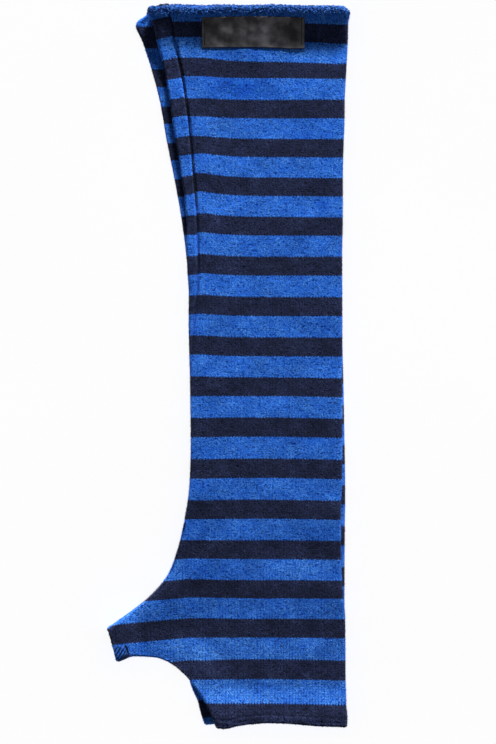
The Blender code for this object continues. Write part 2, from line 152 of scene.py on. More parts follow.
# Where stripes begin: whole numbers are the tops of navy stripes, counted from the arm hem, and
# n + NAVY_SHARE is the top of the blue stripe under it. Left, middle and right are places along
# Y on the front, at the x values below, and back is where the line rolls in from the back.
NAVY_SHARE = NAVY_COURSES / BAND_COURSES
Line = namedtuple("Line", "stripe left middle right back")
LINE_LEFT, LINE_MIDDLE, LINE_RIGHT = -16.9, 28.6, 74.9
LEFT_BEND, RIGHT_BEND = 2.6, 1.4  # how late a line leaves its middle height on each side

UPPER_LINES = table(Line, [
    (0, 237.4, 236.6, 235.4, 238.7), (NAVY_SHARE, 227, 224.3, 222.1, 224.9),
    (1, 212.7, 209.8, 208.3, 210.5), (1 + NAVY_SHARE, 199.7, 198.4, 198, 196.8),
    (2, 184.6, 183.5, 183.7, 183.7), (3, 158.6, 156.6, 156.4, 157.3), (4, 133, 129.9, 129.5, 130.5),
    (5, 105.3, 102.8, 102.5, 103.6), (6, 77.2, 75.3, 75.3, 75.6), (8, 21, 19.6, 19.5, 21),
    (10, -35.9, -35.6, -36.5, -35.9), (12, -92.8, -92.3, -93.1, -92.8),
    (14, -147.2, -147.8, -148.1, -147.2), (15, -174.1, -174.5, -174.7, -174.1),
    (16, -203.2, -202.4, -203.3, -203.2), (17, -232.9, -233, -233.9, -232.9),
    (17 + NAVY_SHARE, -252, -252, -252.5, -252),
])
LOWER_LINES = table(Line, [
    (0, 234.3, 236, 237.7, 234.3), (NAVY_SHARE, 219.1, 221.5, 224, 219.1),
    (1, 204.8, 207, 210, 204.8), (2, 179.1, 182, 186, 179.1), (3, 153.9, 157.5, 161.5, 153.9),
    (5, 103, 107, 112, 103), (9, -8.3, -3.5, 1, -8.3), (12, -92, -87, -82.6, -92),
    (17, -230.8, -226, -222, -230.8), (17 + NAVY_SHARE, -243.2, -238.5, -235, -243.2),
])
THUMB_DROOP = 4.8  # how far the stripes sink towards the tip of the thumb
THUMB_DROOP_START, THUMB_DROOP_END = -28.0, -84.0
THUMB_TOP_EDGE, THUMB_TOP_RUN = -130.0, 30.0  # and it fades out above the thumb

# A warmer: its outline, its stripes and how many warmers lie under it
Warmer = namedtuple(
    "Warmer", "name sections thumb_top thumb_bottom arm_wave hand_wave lines creases under grain"
)
# How finely a warmer's cloth is drawn, in millimetres
Grain = namedtuple("Grain", "rows columns thumb")

# Soft ridges and troughs. "turn" is the direction that it runs in, in degrees from +X, and a
# rise below zero is a trough.
Crease = namedtuple("Crease", "x y turn length width rise")

UPPER_CREASES = table(Crease, [
    (-43.6, 243.5, 86, 5.5, 1.1, -0.5), (-50, 246, 0, 11, 5, -0.6), (-28, 246.5, 0, 16, 4.5, -0.5),
    (66, 246, 0, 26, 4.5, 0.45), (-48, 223, 80, 13, 4.5, 0.6), (-30, 221, 0, 16, 7, 0.5),
    (68, 217, 0, 18, 7, -0.4), (12, 203, 2, 22, 7, -0.45), (-10, 172, 8, 30, 9, 0.4),
    (58, 148, -6, 26, 9, 0.35), (62, 103, 12, 18, 7, 0.35), (20, 118, -4, 30, 10, -0.25),
    (-12, 72, 10, 26, 10, -0.3), (64, 34, -8, 16, 8, 0.45), (30, 20, 5, 34, 12, -0.2),
    (4, -30, -5, 30, 11, 0.22), (70, -58, -10, 12, 9, 0.4), (-14, -84, 28, 20, 9, 0.5),
    (60, -101, -6, 22, 9, 0.5), (40, -124, 4, 34, 9, -0.25), (66, -156, -4, 20, 9, 0.55),
    (14, -158, 6, 20, 8, 0.45), (-40, -158, 36, 26, 9, 0.45), (-22, -184, -14, 28, 9, -0.35),
    (20, -196, 3, 36, 8, 0.3),
])
LOWER_CREASES = table(Crease, [
    (-57.6, 237.5, 74, 5, 1.2, -1.2), (-53, 241, 100, 4, 1, -0.8), (-55, 214, 60, 16, 5, 0.45),
    (-46, 178, 80, 22, 4, 0.35), (10, 150, 10, 40, 12, -0.35), (50, 20, -12, 40, 12, -0.35),
    (-40, -160, 36, 26, 9, -0.4),
])
# On the faces that look down, only troughs, so that they keep clear of what they lie on
UNDER_CREASES = table(Crease, [
    (30, 214, -4, 34, 7, -0.5), (-6, 168, 9, 28, 8, -0.4), (52, 121, -10, 24, 8, -0.45),
    (16, 62, 5, 36, 10, -0.35), (58, 6, -7, 22, 8, -0.45), (4, -44, 12, 26, 9, -0.4),
    (44, -98, -5, 30, 8, -0.5), (-34, -166, 30, 26, 8, -0.45), (38, -188, 4, 34, 8, -0.4),
])

# Where the cloth's colour is made that much lighter or darker: painted light and shade for slopes and
# edges that the lamps light too little or too much, and partly the tone of nap brushed another way
NAP_AND_PAINTED_LIGHT_PATCHES = table(Crease, [
    (66, 231, 0, 17, 7, 0.5), (-41, 230, 0, 11, 7, 0.85), (66, 245.5, 0, 18, 3.5, 0.28),
    (-30, 220.5, 0, 15, 5.5, 0.48), (52, 214.5, 0, 22, 5, 0.38), (79, -50, 90, 70, 3.6, 0.26),
    (8, 193, -4, 26, 10, -0.5), (3, 178, 0, 10, 6, -0.25), (6, 217, 0, 18, 6, -0.18),
    (54, 163, -20, 17, 15, -0.27), (-10, 160, 0, 9, 12, 0.26), (-34, 104, 100, 26, 5, 0.36),
    (-8, 105, 0, 8, 13, 0.36), (4, 72, 0, 9, 9, 0.32), (17, 84, 0, 9, 8, -0.18),
    (36, 69, 0, 13, 8, -0.26), (66, 110, 0, 8, 7, -0.28), (66, 28, 0, 8, 8, -0.25),
    (29, 13, 0, 9, 7, -0.25), (60, -43, 0, 13, 9, -0.4), (-19, -98, 90, 22, 8, -0.22),
    (-14, -145, 0, 16, 12, -0.3), (16, -153, 0, 10, 6, -0.25), (48, -138, 0, 16, 11, 0.46),
    (60, -154, 0, 11, 6, -0.28), (61, -122, 0, 11, 8, -0.4), (29, -167, 0, 9, 6, -0.2),
    (-68, -171, 30, 18, 7, 0.42), (-26, -195, -8, 16, 9, 0.5), (17, -187, 0, 10, 9, 0.38),
    (-13, -207.5, 0, 17, 9, 0.8), (-44, -146, 52, 20, 4, 0.32), (43, -209, 0, 21, 9, 0.38),
    (2, -227, 0, 15, 8, 0.42), (-33, 90, 100, 14, 4, 0.4), (-27, 55.5, 0, 5, 7, -0.3),
    (76, -28, 0, 6, 7, 0.35), (-46, -153, 30, 8, 6, 0.25), (-83, -179, 0, 4, 6, 0.45),
    (79, -208, 0, 4, 8, 0.3), (2, -246.8, 6, 14, 2, 0.6), (34, -243.8, 0, 16, 2, 0.6),
    (68, -246.1, -3, 15, 2, 0.7), (54, -236, 0, 8, 4, -0.28), (17, -236, 0, 8, 4, -0.22),
    (42, -153, 0, 9, 6, 0.2), (-6, -181, 0, 8, 6, 0.25), (-22, -14, 0, 5, 6, 0.3),
    (-20, 214, 0, 6, 5, 0.3), (80, 228, 0, 4, 8, 0.7), (18, -214, 0, 7, 8, -0.28),
    (-42, -168, 0, 9, 7, -0.22), (-57, -194, 0, 9, 5, -0.2), (54, -28, 0, 9, 7, 0.16),
])

# ---------------------------------------------------------------- sizes of the relief
SEAM_DIP = 0.6  # how deep the seam sinks where it lies on the edge
ROLLED_SEAM_DIP = 1.6  # and where it lies on the front
SEAM_DIP_WIDTH = 2.1
SEAM_CLEFT_WIDTH = 1.0
SWELL_RISE, SWELL_SIZE, SWELL_SEED = 0.16, 26.0, 5
PLUSH_RISE, PLUSH_SIZE, PLUSH_SEED = 0.045, 4.0, 6
PLUSH_WAVES = 22
RELIEF_START = 2.0  # how far in from an open edge the relief is whole
DIP_START = 0.8  # and how far in the seam's groove is whole
MEETING = 2.5  # how far from the seam the front's and the back's reliefs are whole
HOLLOW_INSET, HOLLOW_WIDTH, HOLLOW_DEPTH = 11.0, 5.5, 0.75  # the hollow under the arm's fold
NEEDLE_INSETS = (2.6, 6.0)  # of the hand hem's two rows of stitches
# The grooves that they pull in, and the ridge between: how far in, how wide and how high
HAND_GROOVES = ((2.6, 0.5, -0.05), (4.3, 0.9, 0.06), (6.0, 0.7, -0.15))
# How far in the rows of points lie that draw the hand hem
HAND_ROWS = (2.1, 2.5, 2.9, 3.4, 3.9, 4.4, 4.9, 5.3, 5.7, 6.1, 6.5, 6.9, 7.4, 8.0, 9.0, 10.2)
CORNER_ROUND = 1.3  # the radius of the corners where a fold meets an open edge
CONTOUR_STEP = 0.01  # the share of a thumb edge over which its direction is taken

ROUNDING_INSETS = (0.0, 0.05, 0.2, 0.45, 0.8, 1.2, 1.65)  # of the rows round an open edge
FOLD_COLUMNS = 6  # of points round a quarter of the fold
SEAM_COLUMNS = 9  # from the front's flat to the seam
ROLL_COLUMNS = 24  # from the back's flat round the edge to the seam
ROLL_CROWDING = 1.25  # how much the columns of a rolled edge crowd towards the seam
BACK_COLUMNS = 8  # across the back's flat
HIDDEN_ROW_STEP = 8  # every eighth row is enough inside the tube
WELD = 0.002  # points of two skins that meet are this close

UPPER = Warmer(
    "upper_warmer", UPPER_SECTIONS, UPPER_THUMB_TOP, UPPER_THUMB_BOTTOM, UPPER_ARM_WAVE,
    UPPER_HAND_WAVE, UPPER_LINES, UPPER_CREASES, 1, Grain(1.35, 1.25, 1.6),
)
LOWER = Warmer(
    "lower_warmer", LOWER_SECTIONS, LOWER_THUMB_TOP, LOWER_THUMB_BOTTOM, LOWER_ARM_WAVE,
    LOWER_HAND_WAVE, LOWER_LINES, LOWER_CREASES, 0, Grain(1.8, 1.8, 2.2),
)

# ---------------------------------------------------------------- the label
LABEL_WIDTH = 71.0
LABEL_DEPTH = 21.0
LABEL_THICKNESS = 0.3
LABEL_LEFT = -18.5
LABEL_TOP = 241.3
LABEL_BOW = 0.8  # how far the middle of its top edge rises above the ends
LABEL_GRID = 0.5
LABEL_STITCH_INSET = 2.1  # of the stitched lines from the ends
LABEL_LIFT = 0.30  # how far its free lower edge stands off the cloth
LABEL_FREE_START, LABEL_FREE_RUN = 2.0, 12.0  # from the ends, where it comes free of the cloth
LABEL_PULL, LABEL_PULL_WIDTH = 0.08, 0.8  # how far its stitched lines sink, and how wide
LABEL_PRESS = (3.0, 2.0)  # how far past the label it presses the cloth flat, in X and Y
LABEL_DIPS = table(Wave, [
    (-18.5, 0.1), (0, 0.5), (20, 0.5), (34, 0.1), (44, -0.4), (52.5, -0.2),
])
LABEL_CREASES = table(Crease, [
    (19.5, 225, 24, 6, 4.5, 0.45), (-13, 221, 10, 7, 4, 0.4), (2, 228.5, -8, 12, 4.5, 0.3),
    (45, 237, 0, 9, 9, 0.5),
])
# Painted sheen and shade: where its satin's colour is made lighter or darker, as a satin catches more
# or less light
LABEL_PAINTED_SHEEN = table(Crease, [
    (26, 229.5, 80, 9, 6, 0.55), (8, 232, 0, 13, 5, 0.25), (46, 233, 70, 12, 9, -0.4),
    (-12, 236, 0, 12, 5, -0.35),
])

# ---------------------------------------------------------------- colours, as light reflected
BLUE = (0.0125, 0.128, 0.670)
# The shade colours darken the plush's hollows and the furrows between stitches: partly the yarn's own
# darker ground, partly painted shade
BLUE_SHADE = (0.0025, 0.034, 0.260)
BLUE_FIBRE = (0.098, 0.345, 0.935)
BLUE_PAINTED_LIGHT_TINT = (1.6, 1.0, 0.62)  # where painted light makes the blue lighter, it also makes it paler
NAVY = (0.0095, 0.0135, 0.0410)
NAVY_SHADE = (0.0040, 0.0050, 0.0150)
NAVY_FIBRE = (0.0380, 0.0520, 0.1400)
# Painted shade: darker colours for the upright faces of the arm's fold, and darker copies of the yarns
# for the loops and fuzz there, where the low key light falls full
FOLD_BLUE_PAINTED_SHADE = (0.0028, 0.017, 0.085)
SHADED_LOOP_BLUE = (0.0020, 0.012, 0.065)
SHADED_LOOP_BLUE_FIBRE = (0.040, 0.165, 0.560)
FOLD_NAVY_PAINTED_SHADE = (0.0030, 0.0040, 0.0100)
SHADED_LOOP_NAVY = (0.0040, 0.0050, 0.0130)
SHADED_LOOP_NAVY_FIBRE = (0.0140, 0.0190, 0.0480)
SATIN = (0.084, 0.082, 0.094)
SATIN_PAINTED_SHEEN = (0.240, 0.236, 0.255)
# painted shade for the label's upright edges
SATIN_EDGE_SHADE = (0.0034, 0.0028, 0.0024)
THREAD = (0.0075, 0.0100, 0.0280)
BLACK_THREAD = (0.002, 0.002, 0.004)
BLACK_THREAD_LIGHT = (0.006, 0.006, 0.010)
BLUE_SHEEN = (0.35, 0.55, 1.0)
FLOOR_WHITE = (0.93, 0.93, 0.93)
FLOOR_SHADE = (0.92, 0.92, 0.925)

PLUSH_DEPTH, THREAD_DEPTH, SATIN_DEPTH = 0.24, 0.08, 0.06  # of the bump on each


# ================================================================ curves and slopes
def smooth_curve(at, values, runs_on=False):
    """A function that runs smoothly through the values, with no overshoot between them."""
    at, values = np.array(at, float), np.array(values, float)
    if at[0] > at[-1]:
        at, values = at[::-1], values[::-1]
    steps = np.diff(at)
    slopes = np.diff(values) / steps
    before, after = 2 * steps[1:] + steps[:-1], steps[1:] + 2 * steps[:-1]
    tangents = np.concatenate([slopes[:1], np.zeros(len(at) - 2), slopes[-1:]])
    for i in range(len(slopes) - 1):
        if slopes[i] * slopes[i + 1] > 0:
            weighted = before[i] / slopes[i] + after[i] / slopes[i + 1]
            tangents[i + 1] = (before[i] + after[i]) / weighted

    def value(x):
        inside = np.clip(x, at[0], at[-1])
        i = np.clip(np.searchsorted(at, inside, side="right") - 1, 0, len(steps) - 1)
        share = (inside - at[i]) / steps[i]
        rise = share * share * (3 - 2 * share)
        start = share * (1 - share) ** 2 * steps[i] * tangents[i]
        end = share * share * (share - 1) * steps[i] * tangents[i + 1]
        found = values[i] + (values[i + 1] - values[i]) * rise + start + end
        if runs_on:
            found = found + np.minimum(x - at[0], 0) * tangents[0]
            found = found + np.maximum(x - at[-1], 0) * tangents[-1]
        return found

    return value


def column(rows, across, name, runs_on=False):
    """One column of a table as a smooth function of another."""
    at, values = ([getattr(row, key) for row in rows] for key in (across, name))
    return smooth_curve(at, values, runs_on)


def reached(places):
    """How far along the straight lines that join places each of them lies."""
    return np.concatenate([[0], np.cumsum(np.linalg.norm(np.diff(places, axis=0), axis=1))])


def plan_curve(places):
    """A smooth curve through places in plan, as a function of the share of its length."""
    places = np.array(places, float)
    shares = reached(places) / reached(places)[-1]
    x, y = smooth_curve(shares, places[:, 0]), smooth_curve(shares, places[:, 1])
    return lambda share: np.array([x(share), y(share)])


def plan_length(places):
    """The length of the straight lines that join places in plan."""
    return float(np.linalg.norm(np.diff(np.array(places), axis=0), axis=1).sum())


def fade(distance, full, run):
    """1 up to the distance full, then smoothly down to 0 over run."""
    share = np.clip((distance - full) / run, 0.0, 1.0)
    return 1 - share * share * (3 - 2 * share)


def unevenness(x, y, size, seed, waves=14):
    """Soft random rises and falls, about size across."""
    draw = np.random.default_rng(seed)
    total = np.zeros(np.shape(x))
    for _ in range(waves):
        turn, phase = draw.uniform(0, 2 * math.pi, 2)
        length = size * draw.uniform(0.7, 1.6)
        total += np.sin((x * math.cos(turn) + y * math.sin(turn)) * 2 * math.pi / length + phase)
    return total / math.sqrt(waves / 2)


def hem_swell(distance, hem):
    """How much a hem adds to each wall of its tube, at a distance from its open edge."""
    share = np.clip((distance - hem.full) / hem.slope, 0.0, 1.0)
    fall = HEM_EVENNESS * share + (1 - HEM_EVENNESS) * (1 - fade(share, 0.0, 1.0))
    return hem.extra * (1 - fall)


def thumb_droop(x):
    """How far the stripes have sunk at x, on the way to the tip of the thumb."""
    share = (THUMB_DROOP_START - x) / (THUMB_DROOP_START - THUMB_DROOP_END)
    return THUMB_DROOP * np.clip(share, 0, 1)


def thumb_mouth_distance(x, y):
    """How far a place lies in from the line of the thumb hole."""
    top, bottom = np.array(UPPER_THUMB_TOP[-1]), np.array(UPPER_THUMB_BOTTOM[-1])
    along = (bottom - top) / np.linalg.norm(bottom - top)
    return (x - top[0]) * -along[1] + (y - top[1]) * along[0]


def tube_height(x, y):
    """The height of one flat warmer at a place: more at the hems, where its cloth is double."""
    swell = np.maximum(hem_swell(ARM_EDGE - y, ARM_HEM), hem_swell(y - HAND_EDGE, HAND_HEM))
    swell = np.maximum(swell, hem_swell(thumb_mouth_distance(x, y), THUMB_HEM))
    return BODY_HEIGHT + 2 * swell


def tube_middle(warmer, x, y):
    """The height at which a warmer's front and back halves meet."""
    height = tube_height(x, y)
    return warmer.under * (height + LAYER_GAP) + height / 2


def crease_relief(creases, x, y):
    """What the soft ridges and troughs add to the cloth at a place."""
    total = np.zeros(np.shape(x))
    for crease in creases:
        turn = math.radians(crease.turn)
        along = (x - crease.x) * math.cos(turn) + (y - crease.y) * math.sin(turn)
        across = (y - crease.y) * math.cos(turn) - (x - crease.x) * math.sin(turn)
        total += crease.rise * np.exp(-((along / crease.length) ** 2) - (across / crease.width) ** 2)
    return total


def label_cover(x, y):
    """1 under the label and 0 away from it."""
    inside_x = fade(np.abs(x - LABEL_LEFT - LABEL_WIDTH / 2), LABEL_WIDTH / 2, LABEL_PRESS[0])
    inside_y = fade(np.abs(y - LABEL_TOP + LABEL_DEPTH / 2), LABEL_DEPTH / 2, LABEL_PRESS[1])
    return inside_x * inside_y


def nap_relief(warmer, x, y, front):
    """The cloth's soft swells and its plush, at a place of the opened cloth."""
    skin = warmer.under + 10 * front
    swells = SWELL_RISE * unevenness(x, y, SWELL_SIZE, SWELL_SEED + skin)
    return swells + PLUSH_RISE * unevenness(x, y, PLUSH_SIZE, PLUSH_SEED + skin, PLUSH_WAVES)


def fold_hollow(y):
    """How much deeper the slope under the arm's fold is than an even one."""
    return HOLLOW_DEPTH * np.exp(-(((ARM_EDGE - y - HOLLOW_INSET) / HOLLOW_WIDTH) ** 2))


def needle_relief(warmer, x, y):
    """The two grooves that the hand hem's sewing pulls in, with the ridge between them."""
    inset = y - HAND_EDGE - column(warmer.hand_wave, "x", "reach")(x)
    return sum(rise * np.exp(-(((inset - at) / width) ** 2)) for at, width, rise in HAND_GROOVES)


def lying_relief(warmer, x, y):
    """What shows from above: the creases, the hem's grooves and the hollow under the arm's fold."""
    creases = crease_relief(warmer.creases, x, y)
    if warmer.under:
        creases = creases * (1 - label_cover(x, y))
    return creases + needle_relief(warmer, x, y) - fold_hollow(y)


# ================================================================ the stripes
class Stripes:
    """Which stripe a place on a warmer lies in, as a number that grows from the arm hem."""

    def __init__(self, lines):
        self.middle = column(lines, "middle", "stripe", runs_on=True)
        self.back = column(lines, "back", "stripe", runs_on=True)
        places = [line.middle for line in lines]
        self.left_shift = smooth_curve(places, [line.left - line.middle for line in lines])
        self.right_shift = smooth_curve(places, [line.right - line.middle for line in lines])

    def on_front(self, x, y):
        to_left = np.clip((LINE_MIDDLE - x) / (LINE_MIDDLE - LINE_LEFT), 0, 1) ** LEFT_BEND
        to_right = np.clip((x - LINE_MIDDLE) / (LINE_RIGHT - LINE_MIDDLE), 0, 1) ** RIGHT_BEND
        droop = thumb_droop(x) * fade(y, THUMB_TOP_EDGE, THUMB_TOP_RUN)
        level = y + droop - self.left_shift(y) * to_left - self.right_shift(y) * to_right
        return self.middle(level)


# ================================================================ the cloth of a warmer
# A point of a half. "plan" is the flat point, or the centre line of the fold that it goes round,
# "outward" the fold's direction and "turn" the angle from straight up. "inset" is the distance
# to the open edge, "hem" that edge's turned-in depth, and "from_seam" the distance to the seam.
# "spread" is where the point would lie with the fold opened flat, and "row" is its row's place.
POINT = np.dtype([
    ("plan", float, 2), ("outward", float, 2), ("turn", float), ("inset", float), ("hem", float),
    ("from_seam", float), ("rolled", float), ("spread", float, 2), ("row", float), ("share", float),
])
NO_SEAM = 99.0  # the distance from the seam of points that are nowhere near it


def points(count, **values):
    """New points with the same or their own values."""
    made = np.zeros(count, POINT)
    for name, value in values.items():
        made[name] = value
    return made


def round_edge(edge, outward, runs, radius, front, **details):
    """The points at the distances runs round an edge from its outermost line, up being positive."""
    centre = edge - radius * outward
    quarter = math.pi * radius / 2
    past = np.maximum(np.abs(runs) - quarter, 0.0)
    opened = quarter - runs if front else quarter + runs
    return points(
        len(runs),
        plan=centre - past[:, None] * outward,
        outward=outward,
        turn=math.pi / 2 - np.sign(runs) * np.minimum(np.abs(runs), quarter) / radius,
        spread=centre + opened[:, None] * outward,
        **details,
    )


def seam_run(seam, radius):
    """How far round the edge a seam lies that shows that far in from it on the front."""
    if seam < radius:
        return radius * math.acos(1 - seam / radius)
    return seam - radius + math.pi * radius / 2


def rows_along(warmer, step):
    """The places along a warmer that have a row of points, and the rows that bound its thumb."""
    thumb_start, thumb_end = warmer.thumb_top[0].y, warmer.thumb_bottom[0].y

    def stretch(start, end):
        return list(np.linspace(start, end, round((start - end) / step) + 1))[1:]

    along = [ARM_EDGE - inset for inset in ROUNDING_INSETS]
    along += stretch(along[-1], thumb_start)
    first = len(along) - 1
    along += stretch(along[-1], thumb_end)
    last = len(along) - 1
    hand = [HAND_EDGE + inset for inset in reversed(ROUNDING_INSETS + HAND_ROWS)]
    along += stretch(along[-1], hand[0]) + hand[1:]
    return along, first, last


def hidden_rows(along, first, last):
    """The rows that the inside of the tube keeps: fewer where no other edge has to meet them."""
    ends = len(ROUNDING_INSETS)
    kept = [
        i
        for i in range(len(along))
        if i < ends or i >= len(along) - ends or first <= i <= last or i % HIDDEN_ROW_STEP == 0
    ]
    return [along[i] for i in kept], kept.index(first), kept.index(last)


def faces_between(grid):
    """The faces between each line of point numbers and the next."""
    corners = [grid[:-1, :-1], grid[:-1, 1:], grid[1:, 1:], grid[1:, :-1]]
    return np.stack(corners, axis=-1).reshape(-1, 4)


class Half:
    """The points of a warmer's front or back half, in rows, and the faces between them."""

    def __init__(self, warmer, front, rows):
        self.warmer = warmer
        self.front = front
        self.left = column(warmer.sections, "along", "left")
        self.seam = column(warmer.sections, "along", "seam")
        self.right = column(warmer.sections, "along", "right")
        self.arm_wave = column(warmer.arm_wave, "x", "reach")
        self.hand_wave = column(warmer.hand_wave, "x", "reach")
        self.along, self.first, self.last = rows
        width = np.mean([section.right - section.left for section in warmer.sections])
        self.flats = round(width / warmer.grain.columns) if front else BACK_COLUMNS
        self.parts, self.faces, self.count = [], [], 0

    def waved(self, x, y):
        """Where a row lies at x, with the waves of the open edge that is near it."""
        arm = self.arm_wave(x) * fade(ARM_EDGE - y, 0.0, WAVE_FADE)
        hand = self.hand_wave(x) * fade(y - HAND_EDGE, 0.0, WAVE_FADE)
        return y + arm + hand

    def left_edge(self, y, inset):
        """The thumb-side edge at y, and its outward direction, which is level at an open edge."""
        slope = (self.left(y + 1.0) - self.left(y - 1.0)) / 2.0
        slope *= 1 - fade(inset, EDGE_START, LEVEL_RUN)
        return (
            np.array([self.left(y), self.waved(self.left(y), y)]),
            np.array([-1.0, slope]) / math.hypot(1.0, slope),
        )

    def edge_runs(self, seam_at, radius):
        """Distances round the thumb-side edge, from the flat of this half to the seam."""
        quarter = math.pi * radius / 2
        if self.front:
            return np.linspace(max(quarter, seam_at + SEAM_DIP_WIDTH), seam_at, SEAM_COLUMNS + 1)
        share = 1 - np.linspace(1, 0, ROLL_COLUMNS + 1) ** ROLL_CROWDING
        return -quarter + (seam_at + quarter) * share

    def edge_strip(self, edge, outward, seam, inset, hem, row):
        """The points round the thumb-side edge, from the flat of this half to the seam."""
        radius = tube_height(*(edge - BODY_HEIGHT * outward)) / 2
        seam_at = seam_run(seam, radius)
        runs = self.edge_runs(seam_at, radius)
        rolled = min(seam / radius, 1.0)
        return round_edge(
            edge, outward, runs, radius, self.front, inset=inset, hem=hem,
            from_seam=np.abs(seam_at - runs), rolled=rolled, row=row,
        )

    def flat_points(self, plan, **details):
        """Points of the half's flat, away from the seam."""
        turn = 0.0 if self.front else math.pi
        return points(
            len(plan), plan=plan, spread=plan, outward=LEVEL, turn=turn, from_seam=NO_SEAM, **details
        )

    def number(self, made):
        """Keeps new points, and gives their numbers."""
        self.parts.append(made)
        self.count += len(made)
        return np.arange(self.count - len(made), self.count)

    def body_row(self, start, y, inset, hem):
        """A row from its start by the thumb side to the middle of the fold on the right."""
        radius = tube_height(self.right(y), y) / 2
        fold = np.array([self.right(y), self.waved(self.right(y), y)])
        x = np.linspace(start[0], fold[0] - radius, self.flats + 1)
        share = (x - start[0]) / (fold[0] - start[0])
        fall = (start[1] - self.waved(start[0], y)) * (1 - share)
        flat = self.flat_points(
            np.column_stack([x, self.waved(x, y) + fall]), inset=inset, hem=hem, row=y, share=share
        )
        side = 1 if self.front else -1
        runs = side * np.linspace(math.pi * radius / 2, 0.0, FOLD_COLUMNS + 1)[1:]
        bend = round_edge(
            fold, -LEVEL, runs, radius, self.front,
            inset=inset, hem=hem, from_seam=NO_SEAM, row=y, share=1.0,
        )
        return np.concatenate([flat, bend])

    def make_body(self):
        """The hand and the arm. Gives the lines that the thumb joins: its root and two edges."""
        rows, above, below = [], [], []
        for i, y in enumerate(self.along):
            from_arm, from_hand = ARM_EDGE - y, y - HAND_EDGE
            inset, hem = min((from_arm, ARM_HEM.depth), (from_hand, HAND_HEM.depth))
            strip = self.edge_strip(*self.left_edge(y, inset), self.seam(y), inset, hem, y)
            in_thumb = self.first < i < self.last
            start = np.array([self.left(y), y]) if in_thumb else strip["plan"][0]
            rows.append(self.number(self.body_row(start, y, inset, hem)))
            if not in_thumb:
                edge = above if i <= self.first else below
                edge.append(np.concatenate([rows[-1][:1], self.number(strip[1:])]))
        self.faces += [faces_between(np.array(lines)) for lines in (rows, above, below)]
        root = np.array([row[0] for row in rows[self.first : self.last + 1]])
        return root, above[-1], below[0]

    def contour_at(self, which, inset):
        """The thumb's upper or lower edge at a distance in from its mouth, and its way out."""
        places = (self.warmer.thumb_top, self.warmer.thumb_bottom)[which]
        curve, share = plan_curve(places), 1 - inset / plan_length(places)
        ahead = curve(min(share + CONTOUR_STEP, 1.0)) - curve(share - CONTOUR_STEP)
        ahead /= np.linalg.norm(ahead)
        side = 1 if which == 0 else -1
        return curve(share), side * np.array([ahead[1], -ahead[0]])

    def make_thumb(self, root, above, below):
        """The thumb, from its root to its mouth, between the two edges that go on from the body."""
        made = np.concatenate(self.parts)
        plans = made["plan"][root]
        drops = (plans[0, 1] - plans[:, 1]) / (plans[0, 1] - plans[-1, 1])
        lengths = [plan_length(self.warmer.thumb_top), plan_length(self.warmer.thumb_bottom)]
        near = list(reversed(ROUNDING_INSETS))
        steps = round((lengths[0] - near[0]) / self.warmer.grain.thumb)
        insets = [list(np.linspace(length, near[0], steps + 1))[1:-1] + near for length in lengths]
        middle, above_lines, below_lines = [root], [above], [below]
        ends = (self.warmer.thumb_top[0].y, self.warmer.thumb_bottom[0].y)
        for pair in zip(*insets):
            over, under = (
                self.edge_strip(*self.contour_at(i, pair[i]), 0.0, pair[i], THUMB_HEM.depth, ends[i])
                for i in (0, 1)
            )
            inset = pair[0] + (pair[1] - pair[0]) * drops
            left = inset / (lengths[0] + (lengths[1] - lengths[0]) * drops)
            between = np.outer(1 - drops, plans[0]) + np.outer(drops, plans[-1])
            across = np.outer(1 - drops, over["plan"][0]) + np.outer(drops, under["plan"][0])
            across += left[:, None] * (plans - between)
            flat = self.flat_points(across, inset=inset, hem=THUMB_HEM.depth, row=plans[:, 1])
            ids = self.number(flat)
            middle.append(ids)
            above_lines.append(np.concatenate([ids[:1], self.number(over[1:])]))
            below_lines.append(np.concatenate([ids[-1:], self.number(under[1:])]))
        self.faces += [faces_between(np.array(lines)) for lines in (above_lines, middle, below_lines)]

    def made(self):
        """All the points and faces of the half."""
        self.make_thumb(*self.make_body())
        return np.concatenate(self.parts), np.concatenate(self.faces)


def wall_reach(warmer, made, outer, front):
    """How far a face of the cloth lies from its fold's centre line, and that line's height."""
    x, y = made["plan"].T
    radius = tube_height(x, y) / 2
    turned_in = (radius - BODY_HEIGHT / 2) * fade(made["inset"], made["hem"], HEM_STEP)
    half_wall = (CLOTH + turned_in) / 2
    short = np.maximum(half_wall - made["inset"], 0.0)
    rounding = half_wall - np.sqrt(half_wall**2 - short**2)
    if not outer:
        return radius - 2 * half_wall + rounding
    dip = SEAM_DIP * fade(made["from_seam"], 0.0, SEAM_DIP_WIDTH)
    cleft = np.exp(-((made["from_seam"] / SEAM_CLEFT_WIDTH) ** 2))
    dip = dip + (ROLLED_SEAM_DIP - SEAM_DIP) * cleft * made["rolled"]
    dip = dip * np.clip(made["inset"] / DIP_START, 0.0, 1.0)
    start = np.clip(made["inset"] / RELIEF_START, 0.0, 1.0)
    start = start * np.where(
        made["from_seam"] < NO_SEAM,
        np.clip(made["from_seam"] / MEETING, 0.0, 1.0),
        np.abs(np.cos(made["turn"])),
    )
    facing_up = np.maximum(np.cos(made["turn"]), 0.0)
    shown = made["plan"] + made["outward"] * (radius * np.sin(made["turn"]))[:, None]
    nap = nap_relief(warmer, *made["spread"].T, front)
    if warmer.under and front:
        nap *= 1 - label_cover(*shown.T)
    covered = (made["turn"] > math.pi / 2) | (front and not warmer.under)
    nap = np.where(covered, -np.abs(nap), nap)
    below = crease_relief(UNDER_CREASES, *shown.T) * np.maximum(-np.cos(made["turn"]), 0.0)
    relief = (nap + lying_relief(warmer, *shown.T) * facing_up + below) * start
    return radius - rounding - dip + relief


def in_space(warmer, made, reach):
    """Where points lie in space, in millimetres."""
    x, y = made["plan"].T
    short = np.maximum(CORNER_ROUND - made["inset"], 0.0)
    pull = CORNER_ROUND - np.sqrt(CORNER_ROUND**2 - short**2)
    sideways = reach * np.sin(made["turn"]) - pull * np.sin(made["turn"]) ** 2
    rise = reach * np.cos(made["turn"])
    return np.column_stack([
        x + made["outward"][:, 0] * sideways,
        y + made["outward"][:, 1] * sideways,
        tube_middle(warmer, x, y) + rise,
    ])


